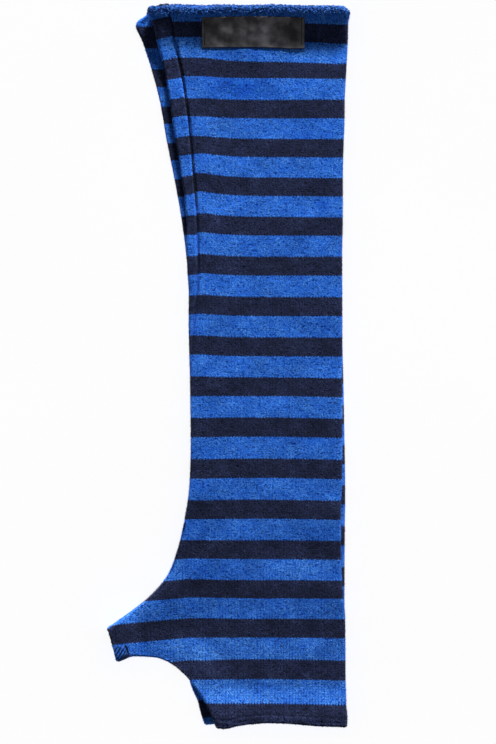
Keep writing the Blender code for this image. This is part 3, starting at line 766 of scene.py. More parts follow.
def cloth_place(warmer, stripes, made, front):
    """Where points lie on the flat cloth: across it, and along it in whole stripes."""
    x, y = made["spread"].T
    if front:
        return np.column_stack([x, stripes.on_front(x, y) * BAND])
    fold = column(warmer.sections, "along", "right")(made["row"])
    at_fold = stripes.on_front(fold, made["row"])
    in_thumb = made["hem"] == THUMB_HEM.depth
    place = np.where(in_thumb, y + thumb_droop(x), made["row"])
    at_edge = stripes.back(place)
    along = at_edge + (at_fold - at_edge) * made["share"]
    return np.column_stack([2 * fold - x, along * BAND])


BAKE_SIDE = 520.0  # the size of a warmer's bake map
BAKE_BASE = 258.0  # and how far its lower edge lies below the middle of the warmer
# Where the four skins lie on it, by outer and front: the shift and the scale of each
BAKE_PLACES = {
    (True, True): (90.0, 1.0),
    (True, False): (262.0, 1.0),
    (False, True): (440.0, 0.22),
    (False, False): (482.0, 0.22),
}


def bake_place(made, outer, front):
    """Where points lie on the bake map."""
    shift, scale = BAKE_PLACES[(outer, front)]
    x, y = made["spread"].T
    return np.column_stack([x * scale + shift, (y + BAKE_BASE) * scale]) / BAKE_SIDE


def new_object(name, data, material, *, smooth=True):
    """An object in the scene with one material."""
    data.materials.append(material)
    if smooth:
        data.shade_smooth()
    made = bpy.data.objects.new(name, data)
    bpy.context.scene.collection.objects.link(made)
    return made


def read(items, name, size, kind=float):
    """One value of every point, corner or face of a mesh, as rows."""
    values = np.empty(len(items) * size, kind)
    items.foreach_get(name, values)
    return values.reshape(-1, size)


def new_mesh(name, spaces, faces, maps):
    """A mesh of points in millimetres, with UV maps that give a place for each point."""
    data = bpy.data.meshes.new(name)
    data.from_pydata((spaces * MM).tolist(), [], faces)
    corners = read(data.loops, "vertex_index", 1, int).ravel()
    for label, places in maps.items():
        layer = data.uv_layers.new(name=label)
        layer.data.foreach_set("uv", places[corners].astype(np.float32).ravel())
    return data


def weld(data):
    """Joins the points where two skins meet, and turns all the faces outwards."""
    mesh = bmesh.new()
    mesh.from_mesh(data)
    bmesh.ops.remove_doubles(mesh, verts=mesh.verts, dist=WELD * MM)
    bmesh.ops.recalc_face_normals(mesh, faces=mesh.faces)
    mesh.to_mesh(data)
    mesh.free()


def mark_tone_and_painted_light(data, patches=NAP_AND_PAINTED_LIGHT_PATCHES):
    """Marks, at each point of a mesh, how much lighter or darker the painted light and shade and the
    tone make it.
    """
    x, y = (read(data.vertices, "co", 3) / MM).T[:2]
    marks = data.attributes.new("Tone_And_Painted_Light", "FLOAT", "POINT")
    marks.data.foreach_set("value", crease_relief(patches, x, y).astype(np.float32))


def warmer_cloth(warmer, material):
    """The cloth of one warmer, as one closed tube with both its faces."""
    stripes = Stripes(warmer.lines)
    rows = rows_along(warmer, warmer.grain.rows)
    spaces, cloths, bakes, faces = [], [], [], []
    shift = 0
    for outer in (True, False):
        for front in (True, False):
            made, quads = Half(warmer, front, rows if outer else hidden_rows(*rows)).made()
            spaces.append(in_space(warmer, made, wall_reach(warmer, made, outer, front)))
            cloths.append(cloth_place(warmer, stripes, made, front) * MM)
            bakes.append(bake_place(made, outer, front))
            faces.append(quads + shift)
            shift += len(made)
    maps = {"Cloth": np.concatenate(cloths), "OFBake": np.concatenate(bakes)}
    faces = np.concatenate(faces).tolist()
    data = new_mesh(warmer.name, np.concatenate(spaces), faces, maps)
    weld(data)
    mark_tone_and_painted_light(data)
    return new_object(warmer.name, data, material)


def front_level(warmer, x, y):
    """The height of the cloth's upper face at a place away from the edges."""
    height = tube_height(x, y)
    relief = nap_relief(warmer, x, y, True) + lying_relief(warmer, x, y)
    return tube_middle(warmer, x, y) + height / 2 + relief


# ================================================================ the label
LABEL_BAKE_SIDE, LABEL_BAKE_MARGIN = LABEL_WIDTH + 4.0, 0.02  # of its bake map
LABEL_BAKE_BACK = [0.0, 0.4]  # where the underside lies on it


def label_level(x, y):
    """The height of the label's upper face: held down at its ends, and free along its lower edge."""
    ends = np.minimum(x - LABEL_LEFT, LABEL_LEFT + LABEL_WIDTH - x)
    held = LABEL_PULL * np.exp(-(((ends - LABEL_STITCH_INSET) / LABEL_PULL_WIDTH) ** 2))
    free = 1 - fade(ends, LABEL_FREE_START, LABEL_FREE_RUN)
    down = np.clip((LABEL_TOP - y) / LABEL_DEPTH, 0, 1)
    base = 2 * tube_height(x, y) + LAYER_GAP - fold_hollow(y) + LABEL_GAP + LABEL_THICKNESS
    return base - held + LABEL_LIFT * free * down**2 + crease_relief(LABEL_CREASES, x, y)


def woven_label(material):
    """The label: a thin slab that follows the cloth under it, with rounded edges."""
    columns, rows = round(LABEL_WIDTH / LABEL_GRID), round(LABEL_DEPTH / LABEL_GRID)
    share = np.linspace(0, 1, columns + 1)
    down = np.linspace(0, 1, rows + 1)
    bow = LABEL_BOW * (1 - (2 * share - 1) ** 2)
    x = np.tile(LABEL_LEFT + LABEL_WIDTH * share, (rows + 1, 1))
    dip = column(LABEL_DIPS, "x", "reach")(LABEL_LEFT + LABEL_WIDTH * share)
    y = LABEL_TOP - LABEL_BOW + (dip - LABEL_DEPTH) * down[:, None] + bow * (1 - down[:, None])
    from_edge = np.minimum.reduce([
        x - LABEL_LEFT, LABEL_LEFT + LABEL_WIDTH - x,
        np.broadcast_to(LABEL_DEPTH * down[:, None], x.shape),
        np.broadcast_to(LABEL_DEPTH * (1 - down[:, None]), x.shape),
    ])
    half = LABEL_THICKNESS / 2
    rounding = half - np.sqrt(half**2 - np.maximum(half - from_edge, 0) ** 2)
    upper = label_level(x, y) - rounding
    lower = label_level(x, y) - LABEL_THICKNESS + rounding
    spaces = np.concatenate([np.stack([x, y, z], -1).reshape(-1, 3) for z in (upper, lower)])
    grid = np.arange(x.size).reshape(x.shape)
    quads = faces_between(grid)
    faces = np.concatenate([quads[:, ::-1], quads + x.size]).tolist()
    place = np.stack([x - LABEL_LEFT, y - LABEL_TOP + LABEL_DEPTH + LABEL_BOW], -1).reshape(-1, 2)
    bake = place / LABEL_BAKE_SIDE + LABEL_BAKE_MARGIN
    maps = {
        "Cloth": np.concatenate([place, place]) * MM,
        "OFBake": np.concatenate([bake, bake + LABEL_BAKE_BACK]),
    }
    data = new_mesh("woven_label", spaces, faces, maps)
    weld(data)
    mark_tone_and_painted_light(data, LABEL_PAINTED_SHEEN)
    return new_object("woven_label", data, material)


# ================================================================ places on a made cloth
Spots = namedtuple("Spots", "place normal cloth bake")  # in millimetres, and on the two maps
OUTER_BAKE = 0.72  # the outer skins lie left of this on the bake map
FLOOR_CLEARANCE = 0.9  # how high the lowest loops and fibres grow

# What grows on a warmer: how many, how large and how thick they are, and their random seeds
Growth = namedtuple("Growth", "count size thickness place_seed shape_seed")
RIM_LOOPS = Growth(2800, 1.25, 0.34, 31, 41)
EDGE_LOOPS = Growth(420, 0.85, 0.28, 33, 43)
FACE_CURLS = Growth(5200, 0.95, 0.20, 35, 45)
SIDE_FUZZ = Growth(13000, 0.85, 0.09, 37, 47)
RIM_FUZZ = Growth(3500, 0.85, 0.09, 39, 49)
TUFT_CURLS = Growth(None, 1.0, 0.34, 51, 53)  # TUFTS says how many
LOWER_SHARE = 0.45  # of these, on the warmer that is mostly hidden
CURL_SIZES = (0.6, 1.3)  # smallest and largest, against the growth's own size
CURL_SPANS = (210, 320)  # how far round a curl goes, in degrees
CURL_OPENING = 0.25  # how much wider its loose end is
CURL_TAPER = ((0, 0.15, 0.8, 1), (0.6, 1, 1, 0.35))  # places along it, and the thickness there
FIBRE_SIZES = (0.4, 1.2)
FIBRE_RISES = (0.25, 1.0)  # how steeply fibres leave the cloth
FIBRE_STRAY = 0.35  # how far their tips go astray
FIBRE_SINK = 0.1
RIM_SINK = ((0.1, 0.8), (0.25, 0.62))  # how far a face looks outwards, and how deep its loops stand


def scattered(cloth, count, seed, wanted):
    """Random spots on a cloth's outer skins. "wanted" weighs its faces by place and normal."""
    mesh = cloth.data
    mesh.calc_loop_triangles()
    loops = read(mesh.loop_triangles, "loops", 3, int)
    corners = (read(mesh.vertices, "co", 3) / MM)[read(mesh.loop_triangles, "vertices", 3, int)]
    maps = {name: read(mesh.uv_layers[name].data, "uv", 2)[loops] for name in ("Cloth", "OFBake")}
    crossed = np.cross(corners[:, 1] - corners[:, 0], corners[:, 2] - corners[:, 0])
    area = np.linalg.norm(crossed, axis=1)
    normals = crossed / np.maximum(area, 1e-12)[:, None]
    middle = corners.mean(axis=1)
    shown = (maps["OFBake"][:, :, 0].mean(axis=1) < OUTER_BAKE) & (middle[:, 2] > FLOOR_CLEARANCE)
    weights = area * wanted(middle, normals) * shown
    draw = np.random.default_rng(seed)
    chosen = draw.choice(len(weights), count, p=weights / weights.sum())
    shares = draw.dirichlet((1, 1, 1), count)

    def at(values):
        return np.einsum("ij,ijk->ik", shares, values[chosen])

    return Spots(at(corners), normals[chosen], at(maps["Cloth"]), at(maps["OFBake"]))


def unit(vectors):
    """Vectors brought to a length of 1."""
    return vectors / np.maximum(np.linalg.norm(vectors, axis=-1, keepdims=True), 1e-9)


def strands(name, lines, thickness, axes, material, *, sides=4, cloth=None, bake=None):
    """Round tapered strands through lines of points. "axes" are square to each strand's bend.

    "cloth" and "bake" are the places on the two maps that each strand takes its colour from.
    """
    lines = np.asarray(lines, float)
    count, length = lines.shape[:2]
    along = unit(np.gradient(lines, axis=1))
    axes = np.broadcast_to(np.asarray(axes, float)[:, None], lines.shape)
    first = unit(axes - (axes * along).sum(-1, keepdims=True) * along)
    second = np.cross(along, first)
    radius = np.broadcast_to(np.asarray(thickness, float) / 2, (count, length))[:, :, None, None]
    turn = np.arange(sides) * 2 * math.pi / sides
    ring = first[:, :, None] * np.cos(turn)[:, None] + second[:, :, None] * np.sin(turn)[:, None]
    spaces = (lines[:, :, None] + radius * ring).reshape(-1, 3)
    grid = np.arange(count * length * sides).reshape(count, length, sides)
    after = np.roll(grid, -1, axis=2)
    quads = np.stack([grid[:, :-1], after[:, :-1], after[:, 1:], grid[:, 1:]], -1).reshape(-1, 4)
    faces = quads.tolist() + grid[:, 0, ::-1].tolist() + grid[:, -1].tolist()
    roots = {} if cloth is None else {"Cloth": cloth, "OFBake": bake}
    maps = {label: np.repeat(root, length * sides, axis=0) for label, root in roots.items()}
    data = new_mesh(name, spaces, faces, maps)
    mark_tone_and_painted_light(data)
    return new_object(name, data, material)


def curls(name, spots, growth, material, *, tilt, bends=7, sides=4, sink=0.15):
    """Curled fibres that stand on spots of the cloth, each an open ring with a loose end."""
    draw = np.random.default_rng(growth.shape_seed)
    count = len(spots.place)
    loose = draw.normal(size=(count, 3))
    across = unit(np.cross(spots.normal, loose))
    away = np.cross(spots.normal, across)
    lean = np.radians(draw.uniform(*tilt, count))[:, None]
    up = unit(spots.normal * np.sin(lean) + away * np.cos(lean))
    radius = (growth.size * draw.uniform(*CURL_SIZES, count) / 2)[:, None, None]
    span = np.radians(draw.uniform(*CURL_SPANS, count))
    turn = (np.linspace(-0.5, 0.5, bends + 1) * span[:, None])[:, :, None]
    grow = 1 + CURL_OPENING * np.linspace(-1, 1, bends + 1)[:, None]
    lines = spots.place[:, None] + spots.normal[:, None] * (radius * np.sin(lean)[:, None] - sink)
    lines = lines + radius * grow * (across[:, None] * np.sin(turn) + up[:, None] * np.cos(turn))
    taper = growth.thickness * np.interp(np.linspace(0, 1, bends + 1), *CURL_TAPER)
    axes = np.cross(across, up)
    return strands(
        name, lines, np.tile(taper, (count, 1)), axes, material,
        sides=sides, cloth=spots.cloth, bake=spots.bake,
    )


def fibres(name, spots, growth, material):
    """Loose fibres: slim bent blades, each of two faces and a tip."""
    draw = np.random.default_rng(growth.shape_seed)
    count = len(spots.place)
    across = unit(np.cross(spots.normal, draw.normal(size=(count, 3))))
    sway = np.cross(spots.normal, across) * draw.uniform(-1.0, 1.0, count)[:, None]
    reach = (growth.size * draw.uniform(*FIBRE_SIZES, count))[:, None]
    lean = unit(spots.normal * draw.uniform(*FIBRE_RISES, count)[:, None] + sway)
    bend = unit(lean + sway * 0.8 + draw.normal(scale=FIBRE_STRAY, size=(count, 3)))
    half = across * growth.thickness / 2
    root, middle = spots.place - spots.normal * FIBRE_SINK, spots.place + lean * reach * 0.5
    tip = middle + bend * reach * 0.5
    spaces = np.stack([root - half, root + half, middle + half * 0.7, middle - half * 0.7, tip], 1)
    first = np.arange(count)[:, None] * 5
    triangles = np.concatenate([first + [0, 1, 2], first + [0, 2, 3], first + [3, 2, 4]])
    maps = {"Cloth": np.repeat(spots.cloth, 5, axis=0), "OFBake": np.repeat(spots.bake, 5, axis=0)}
    data = new_mesh(name, spaces.reshape(-1, 3), triangles.tolist(), maps)
    mark_tone_and_painted_light(data)
    return new_object(name, data, material)


# ================================================================ the sewing
# A row of stitches: the step from one to the next, then each one's length, height, thickness and
# number of sides
Sewing = namedtuple("Sewing", "pitch length rise thickness sides")
HAND_SEWING = Sewing(2.9, 1.5, 0.06, 0.26, 6)
ARM_SEWING = Sewing(3.4, 0.9, 0.16, 0.22, 5)
LABEL_SEWING = Sewing(2.1, 1.6, 0.22, 0.36, 6)
SEAM_SEWING = Sewing(2.6, 2.4, 0.20, 0.80, 5)
STITCH_POINTS = 6
STITCH_FULLNESS = 0.6  # below 1, a stitch rises and falls steeply at its ends
STITCH_SINK = 0.12
LABEL_STITCH_GAP = 1.5  # between the label's ends and the arm hem's stitches
ROLLED_SEAM_END = 110.0  # below this the seam lies on the edge
SEAM_THREAD_LIFT = 0.15  # how high the thread lies in the seam's groove

TUFTS = [(-48.5, -41.5, 40), (57.0, 77.5, 110)]  # from, to and how many

Strand = namedtuple("Strand", "x y to_x to_y rise")
OVERLOCK_STRANDS = table(Strand, [
    (-78.9, -196.4, -76.4, -192.8, 0.4), (-78.2, -199.2, -74.1, -193.2, 0.5),
    (-77, -201.4, -71.9, -193.8, 0.55), (-75.2, -202.2, -70.4, -195.3, 0.55),
    (-73.4, -201.8, -69.7, -197, 0.5), (-71.6, -200.6, -69.2, -198.4, 0.45),
])
OVERLOCK_BOUND = table(Place, [
    (-71.2, -192), (-69.6, -194.6), (-68.8, -198), (-68.9, -200.2), (-72.4, -201.9), (-76, -203.3),
])
OVERLOCK_POINTS = 9
OVERLOCK_THREAD, OVERLOCK_BINDING = 0.62, 0.95
OVERLOCK_SINK, OVERLOCK_LIFT = 0.2, 0.12


def sewn_line(path, sewing):
    """The stitches along a line of places: arcs that come up from the cloth and go down again."""
    starts = np.arange(0.0, reached(path)[-1] - sewing.length, sewing.pitch)
    share = np.linspace(0, 1, STITCH_POINTS)
    at = starts[:, None] + share * sewing.length
    lines = np.stack([np.interp(at, reached(path), path[:, k]) for k in range(3)], -1)
    lines[:, :, 2] += sewing.rise * np.sin(share * math.pi) ** STITCH_FULLNESS - STITCH_SINK
    return lines


def sewn(name, lines, sewing, axis, material):
    """Stitches as strands of thread, whose arcs are square to the axis."""
    axes = np.tile(axis, (len(lines), 1))
    return strands(name, lines, sewing.thickness, axes, material, sides=sewing.sides)


def side_to_side(warmer, y, from_left, from_right, count):
    """Places from one side of a warmer to the other, that far in from its edges."""
    left, right = column(warmer.sections, "along", "left"), column(warmer.sections, "along", "right")
    return np.linspace(left(y) + from_left, right(y) - from_right, count)


def hand_hem_stitches(warmer, material):
    """The two rows of needle stitches round the hand opening, on the side that shows."""
    rows = []
    for inset in NEEDLE_INSETS:
        y = HAND_EDGE + inset
        x = side_to_side(warmer, y, 2.5, 1.5, 160)
        waved = y + column(warmer.hand_wave, "x", "reach")(x)
        rows.append(sewn_line(np.column_stack([x, waved, front_level(warmer, x, waved)]), HAND_SEWING))
    name = f"{warmer.name}_hand_stitches"
    return sewn(name, np.concatenate(rows), HAND_SEWING, [0.0, 1.0, 0.0], material)


def arm_hem_stitches(warmer, material):
    """The small far-apart stitches that hold the arm hem down."""
    y = ARM_EDGE - ARM_HEM.depth
    x = side_to_side(warmer, y, 16.0, 3.0, 200)
    from_label = np.abs(x - LABEL_LEFT - LABEL_WIDTH / 2) - LABEL_WIDTH / 2
    under_label = x[from_label < LABEL_STITCH_GAP]
    path = np.column_stack([x, np.full_like(x, y), front_level(warmer, x, y)])
    lines = sewn_line(path, ARM_SEWING)
    if warmer.under:
        middle = lines[:, :, 0].mean(axis=1)
        lines = lines[(middle < under_label[0]) | (middle > under_label[-1])]
    return sewn(f"{warmer.name}_arm_stitches", lines, ARM_SEWING, [0.0, 1.0, 0.0], material)


def label_stitches(material):
    """The dashed line of thread across each end of the label."""
    lines = []
    top = LABEL_TOP - LABEL_BOW
    y = np.linspace(top - 0.7, top - LABEL_DEPTH + 0.8, 60)
    for x in (LABEL_LEFT + LABEL_STITCH_INSET, LABEL_LEFT + LABEL_WIDTH - LABEL_STITCH_INSET):
        across = np.full_like(y, x)
        lines.append(sewn_line(np.column_stack([across, y, label_level(across, y)]), LABEL_SEWING))
    return sewn("label_stitches", np.concatenate(lines), LABEL_SEWING, [1.0, 0.0, 0.0], material)


def thumb_overlock(warmer, material):
    """The seam's end at the lower corner of the thumb hole: slanting strands, bound at one side."""
    slants, edges = [], []
    share = np.linspace(0, 1, OVERLOCK_POINTS)
    for line in OVERLOCK_STRANDS:
        x = line.x + (line.to_x - line.x) * share
        y = line.y + (line.to_y - line.y) * share
        rise = line.rise * np.sin(share * math.pi) ** 0.5
        slants.append(np.column_stack([x, y, front_level(warmer, x, y) + rise - OVERLOCK_SINK]))
    for start, end in zip(OVERLOCK_BOUND, OVERLOCK_BOUND[1:]):
        x = start.x + (end.x - start.x) * share
        y = start.y + (end.y - start.y) * share
        edges.append(np.column_stack([x, y, front_level(warmer, x, y) + OVERLOCK_LIFT]))
    lines = np.array(slants + edges)
    thickness = np.repeat([OVERLOCK_THREAD, OVERLOCK_BINDING], [len(slants), len(edges)])[:, None]
    axes = np.tile([0.0, 0.0, 1.0], (len(lines), 1))
    return strands(f"{warmer.name}_overlock", lines, thickness, axes, material, sides=6)


def fold_tufts(warmer, material):
    """The navy sewing inside the arm hem, which peeks over its fold in two places."""
    draw = np.random.default_rng(TUFT_CURLS.place_seed)
    x = np.concatenate([draw.uniform(start, end, count) for start, end, count in TUFTS])
    arm_wave = column(warmer.arm_wave, "x", "reach")
    y = ARM_EDGE + arm_wave(x) - draw.uniform(0.4, 1.0, len(x))
    z = tube_middle(warmer, x, y) + draw.uniform(-1.6, 1.2, len(x))
    outward = np.column_stack([np.zeros_like(x), np.ones_like(x), draw.uniform(-0.2, 0.8, len(x))])
    spots = Spots(np.column_stack([x, y, z]), unit(outward), None, None)
    return curls(f"{warmer.name}_tufts", spots, TUFT_CURLS, material, tilt=(30, 80), sink=0.2)


def seam_thread_and_shade(warmer, material):
    """The dark sewing down in the groove, where the rolled seam shows on the front: partly thread and
    partly standing in for the shade deep in the groove.
    """
    half = Half(warmer, True, rows_along(warmer, warmer.grain.rows))
    places = []
    for y in np.linspace(ARM_EDGE - 3.0, ROLLED_SEAM_END, 140):
        edge, outward = half.left_edge(y, ARM_EDGE - y)
        radius = tube_height(*(edge - BODY_HEIGHT * outward)) / 2
        places.append(edge - np.maximum(half.seam(y), radius) * outward)
    plan = np.array(places)
    top = tube_middle(warmer, *plan.T) + tube_height(*plan.T) / 2
    path = np.column_stack([plan, top - ROLLED_SEAM_DIP + SEAM_THREAD_LIFT])
    return sewn("seam_thread_and_shade", sewn_line(path, SEAM_SEWING), SEAM_SEWING, [1.0, 0.0, 0.0], material)


# ================================================================ materials
class Wiring:
    """Adds nodes to one node tree and joins them up."""

    def __init__(self, tree):
        self.tree = tree

    def node(self, kind, **settings):
        made = self.tree.nodes.new("ShaderNode" + kind)
        for name, value in settings.items():
            setattr(made, name, value)
        return made

    def feed(self, socket, value):
        if isinstance(value, bpy.types.NodeSocket):
            self.tree.links.new(value, socket)
        elif value is not None:
            socket.default_value = (*value, 1.0) if socket.type == "RGBA" else value

    def maths(self, operation, *values):
        made = self.node("Math", operation=operation)
        for socket, value in zip(made.inputs, values):
            self.feed(socket, value)
        return made.outputs[0]

    def plus(self, first, second):
        return self.maths("ADD", first, second)

    def minus(self, first, second):
        return self.maths("SUBTRACT", first, second)

    def times(self, first, second):
        return self.maths("MULTIPLY", first, second)

    def over(self, first, second):
        return self.maths("DIVIDE", first, second)

    def arch(self, value):
        """0 at each whole number of the value, and 1 halfway between them."""
        return self.maths("SINE", self.times(self.maths("FRACT", value), math.pi))

    def xyz(self, vector):
        made = self.node("SeparateXYZ")
        self.feed(made.inputs[0], vector)
        return made.outputs

    def mix(self, share, first, second, blend="MIX"):
        made = self.node("Mix", data_type="RGBA", blend_type=blend, clamp_factor=True)
        for name, value in (("Factor_Float", share), ("A_Color", first), ("B_Color", second)):
            socket = next(s for s in made.inputs if s.identifier == name)
            self.feed(socket, value)
        return next(s for s in made.outputs if s.identifier == "Result_Color")

    def noise(self, vector, scale, detail=2.0, roughness=0.5, distortion=0.0):
        made = self.node("TexNoise")
        self.feed(made.inputs["Vector"], vector)
        self.feed(made.inputs["Scale"], scale)
        made.inputs["Detail"].default_value = detail
        made.inputs["Roughness"].default_value = roughness
        made.inputs["Distortion"].default_value = distortion
        return made.outputs["Fac"]

    def ramp(self, value, low, high, start=0.0, end=1.0):
        made = self.node("MapRange", interpolation_type="SMOOTHSTEP")
        names = ("Value", "From Min", "From Max", "To Min", "To Max")
        for name, given in zip(names, (value, low, high, start, end)):
            self.feed(made.inputs[name], given)
        return made.outputs[0]

    def bump(self, shader, height, depth):
        """Gives a shader relief from a height, with its depth in metres."""
        made = self.node("Bump")
        made.inputs["Distance"].default_value = depth
        self.feed(made.inputs["Height"], height)
        self.feed(shader.inputs["Normal"], made.outputs[0])

    def cloth(self):
        """The place on the flat cloth, from the mesh's map."""
        return self.node("UVMap", uv_map="Cloth").outputs[0]

    def group(self, tree, **values):
        made = self.node("Group", node_tree=tree)
        for name, value in values.items():
            self.feed(made.inputs[name.replace("_", " ")], value)
        return made


def new_group(name, inputs, outputs):
    """An empty node group. Its inputs are places, colours or plain numbers, as their values say."""
    tree = bpy.data.node_groups.new(name, "ShaderNodeTree")
    for label, value in inputs.items():
        kind = {type(None): "Vector", tuple: "Color"}.get(type(value), "Float")
        kind_name = "NodeSocket" + kind
        socket = tree.interface.new_socket(name=label, in_out="INPUT", socket_type=kind_name)
        if value is not None:
            socket.default_value = (*value, 1.0) if kind == "Color" else value
    for label in outputs:
        kind_name = "NodeSocketColor" if label == "Color" else "NodeSocketFloat"
        tree.interface.new_socket(name=label, in_out="OUTPUT", socket_type=kind_name)
    wiring = Wiring(tree)
    return wiring, tree.nodes.new("NodeGroupInput").outputs, tree.nodes.new("NodeGroupOutput").inputs


def stitch_group():
    """Columns of V-shaped stitches, a little ragged as in a plush knit."""
    w, given, out = new_group(
        "Plush Stitches",
        {"Cloth": None, "Wale": WALE * MM, "Course": COURSE * MM, "Lean": 0.6, "Raggedness": 0.4},
        ("Height", "Row", "Furrow"),
    )
    place = w.xyz(given["Cloth"])
    stray = w.noise(given["Cloth"], 1100.0)
    stray = w.times(w.minus(stray, 0.5), given["Raggedness"])
    across = w.plus(w.over(place[0], given["Wale"]), stray)
    off_middle = w.minus(w.maths("FRACT", across), 0.5)
    spread = w.times(w.maths("ABSOLUTE", off_middle), 2.0)
    along = w.over(place[1], given["Course"])
    row = w.plus(along, w.times(spread, given["Lean"]))
    row = w.plus(row, w.times(stray, 1.6))
    leg = w.arch(row)
    column_rise = w.maths("SINE", w.times(spread, math.pi))
    both = w.times(w.maths("POWER", leg, 0.7), w.maths("POWER", column_rise, 0.5))
    between = w.ramp(spread, 0.45, 0.95)
    w.feed(out["Height"], w.minus(both, w.times(between, 0.8)))
    w.feed(out["Row"], row)
    hollow = w.times(w.minus(1.0, both), 0.35)
    w.feed(out["Furrow"], w.maths("MAXIMUM", between, hollow))
    return w.tree


def stripe_group():
    """Which stripe a row of stitches belongs to: 1 in the navy and 0 in the blue."""
    w, given, out = new_group(
        "Stripe Rows",
        {"Row": 0.0, "Rows Together": float(BAND_COURSES), "Navy Rows": float(NAVY_COURSES)},
        ("Navy",),
    )
    inside = w.maths("FLOORED_MODULO", w.maths("FLOOR", given["Row"]), given["Rows Together"])
    w.feed(out["Navy"], w.maths("LESS_THAN", inside, w.minus(given["Navy Rows"], 0.5)))
    return w.tree


def curl_group():
    """The plush: short curled fibres with hollows between them, and patches where the nap lies over."""
    w, given, out = new_group(
        "Plush Curls",
        {"Cloth": None, "Curl Scale": 540.0, "Fine Scale": 1150.0, "Patch Scale": 130.0},
        ("Curls", "Hollows", "Fine", "Nap", "Height"),
    )
    cloth = given["Cloth"]
    swirl = w.noise(cloth, given["Curl Scale"], 1.5, 0.55, 0.9)
    ring = w.maths("ABSOLUTE", w.minus(swirl, 0.52))
    curls = w.ramp(ring, 0.0, 0.08, 1.0, 0.0)
    hollows = w.ramp(w.noise(cloth, given["Curl Scale"], 2.0, 0.6), 0.35, 0.46, 1.0, 0.0)
    fine = w.noise(cloth, given["Fine Scale"], 2.0, 0.6)
    w.feed(out["Curls"], curls)
    w.feed(out["Hollows"], hollows)
    w.feed(out["Fine"], fine)
    w.feed(out["Nap"], w.noise(cloth, given["Patch Scale"], 2.5, 0.55))
    height = w.plus(w.times(curls, 0.30), w.times(fine, 0.45))
    w.feed(out["Height"], w.minus(height, w.times(hollows, 0.45)))
    return w.tree


def turned_group():
    """How far a face has turned over an edge: 0 where the cloth lies flat and 1 on its upright side."""
    inputs = {"Normal": None, "Upright": 0.75, "Level": 0.995}
    w, given, out = new_group("Turned Edge", inputs, ("Turned",))
    rise = w.maths("ABSOLUTE", w.xyz(given["Normal"])[2])
    w.feed(out["Turned"], w.ramp(rise, given["Upright"], given["Level"], 1.0, 0.0))
    return w.tree


def melange_group():
    """A yarn's colour: darker in its hollows and furrows, partly its own ground and partly painted
    shade, with its lighter fibres, and painted shade on the upright faces of the arm's fold.
    """
    w, given, out = new_group(
        "Melange Yarn",
        {
            "Yarn": BLUE, "Shade": BLUE_SHADE, "Fibre": BLUE_FIBRE, "Edge": FOLD_BLUE_PAINTED_SHADE, "Curls": 0.0,
            "Hollows": 0.0, "Fine": 0.5, "Nap": 0.5, "Turned": 0.0, "Furrow": 0.0,
        },
        ("Color",),
    )
    # Painted shade, partly the yarn's own ground, in the hollows and the furrows
    shaded = w.maths("MAXIMUM", given["Hollows"], w.ramp(given["Fine"], 0.39, 0.48, 1.0, 0.0))
    shaded = w.maths("MAXIMUM", shaded, given["Furrow"])
    colour = w.mix(shaded, given["Yarn"], given["Shade"])
    nap = w.ramp(given["Nap"], 0.35, 0.65, 0.20, 0.54)
    lit = w.plus(given["Curls"], w.ramp(given["Fine"], 0.54, 0.63, 0.0, 0.9))
    light = w.times(nap, lit)
    colour = w.mix(light, colour, given["Fibre"])
    # Painted shade on the upright faces of the arm's fold
    depth = w.plus(0.82, w.times(shaded, 0.18))
    opened = w.times(given["Turned"], depth)
    w.feed(out["Color"], w.mix(opened, colour, given["Edge"]))
    return w.tree


def satin_group():
    """The fine ribs of a satin weave, with their height, and a tone of painted sheen: cloudy patches,
    lighter on the ribs' tops.
    """
    inputs = {"Cloth": None, "Rib": 0.00038, "Pick": 0.00062}
    w, given, out = new_group("Satin Weave", inputs, ("Tone", "Height"))
    place = w.xyz(given["Cloth"])
    ribs = w.over(place[0], given["Rib"])
    picks = w.over(place[1], given["Pick"])
    shifted = w.plus(picks, w.times(w.maths("FLOOR", ribs), 0.4))
    rib, pick = w.arch(ribs), w.arch(shifted)
    height = w.times(w.maths("POWER", rib, 0.5), w.maths("POWER", pick, 0.35))
    cloudy = w.noise(given["Cloth"], 120.0, 3.0)
    clouds = w.ramp(cloudy, 0.36, 0.66)
    w.feed(out["Tone"], w.times(clouds, w.ramp(height, 0.0, 1.0, 0.5, 1.0)))
    w.feed(out["Height"], height)
    return w.tree


STITCHES = stitch_group()
STRIPE_ROWS = stripe_group()
CURLS = curl_group()
TURNED_EDGE = turned_group()
MELANGE = melange_group()
SATIN_WEAVE = satin_group()


def with_tone_and_painted_light(w, colour, light_tint=(1.0, 1.0, 1.0)):
    """A colour made lighter or darker by the painted light and shade and the tone marked on the mesh,
    by a tint in red, green and blue.
    """
    patch = w.node("Attribute", attribute_name="Tone_And_Painted_Light").outputs["Fac"]
    change = w.mix(1.0, patch, light_tint, blend="MULTIPLY")
    light = w.mix(1.0, change, (1.0, 1.0, 1.0), blend="ADD")
    return w.mix(1.0, colour, light, blend="MULTIPLY")


def in_stripe(w, stitches, blue, navy):
    """The blue or the navy of the stripe that a row lies in, with the painted light and shade and the
    tone marked there.
    """
    stripe = w.group(STRIPE_ROWS, Row=stitches.outputs["Row"])
    return w.mix(stripe.outputs["Navy"], with_tone_and_painted_light(w, blue, BLUE_PAINTED_LIGHT_TINT), with_tone_and_painted_light(w, navy))


def new_material(name, **sockets):
    """A material with a Principled shader, its plain values set on the shader's own sockets."""
    material = bpy.data.materials.new(name)
    material.use_nodes = True
    shader = material.node_tree.nodes["Principled BSDF"]
    for label, value in sockets.items():
        socket = shader.inputs[label.replace("_", " ")]
        socket.default_value = (*value, 1.0) if socket.type == "RGBA" else value
    return material, Wiring(material.node_tree), shader


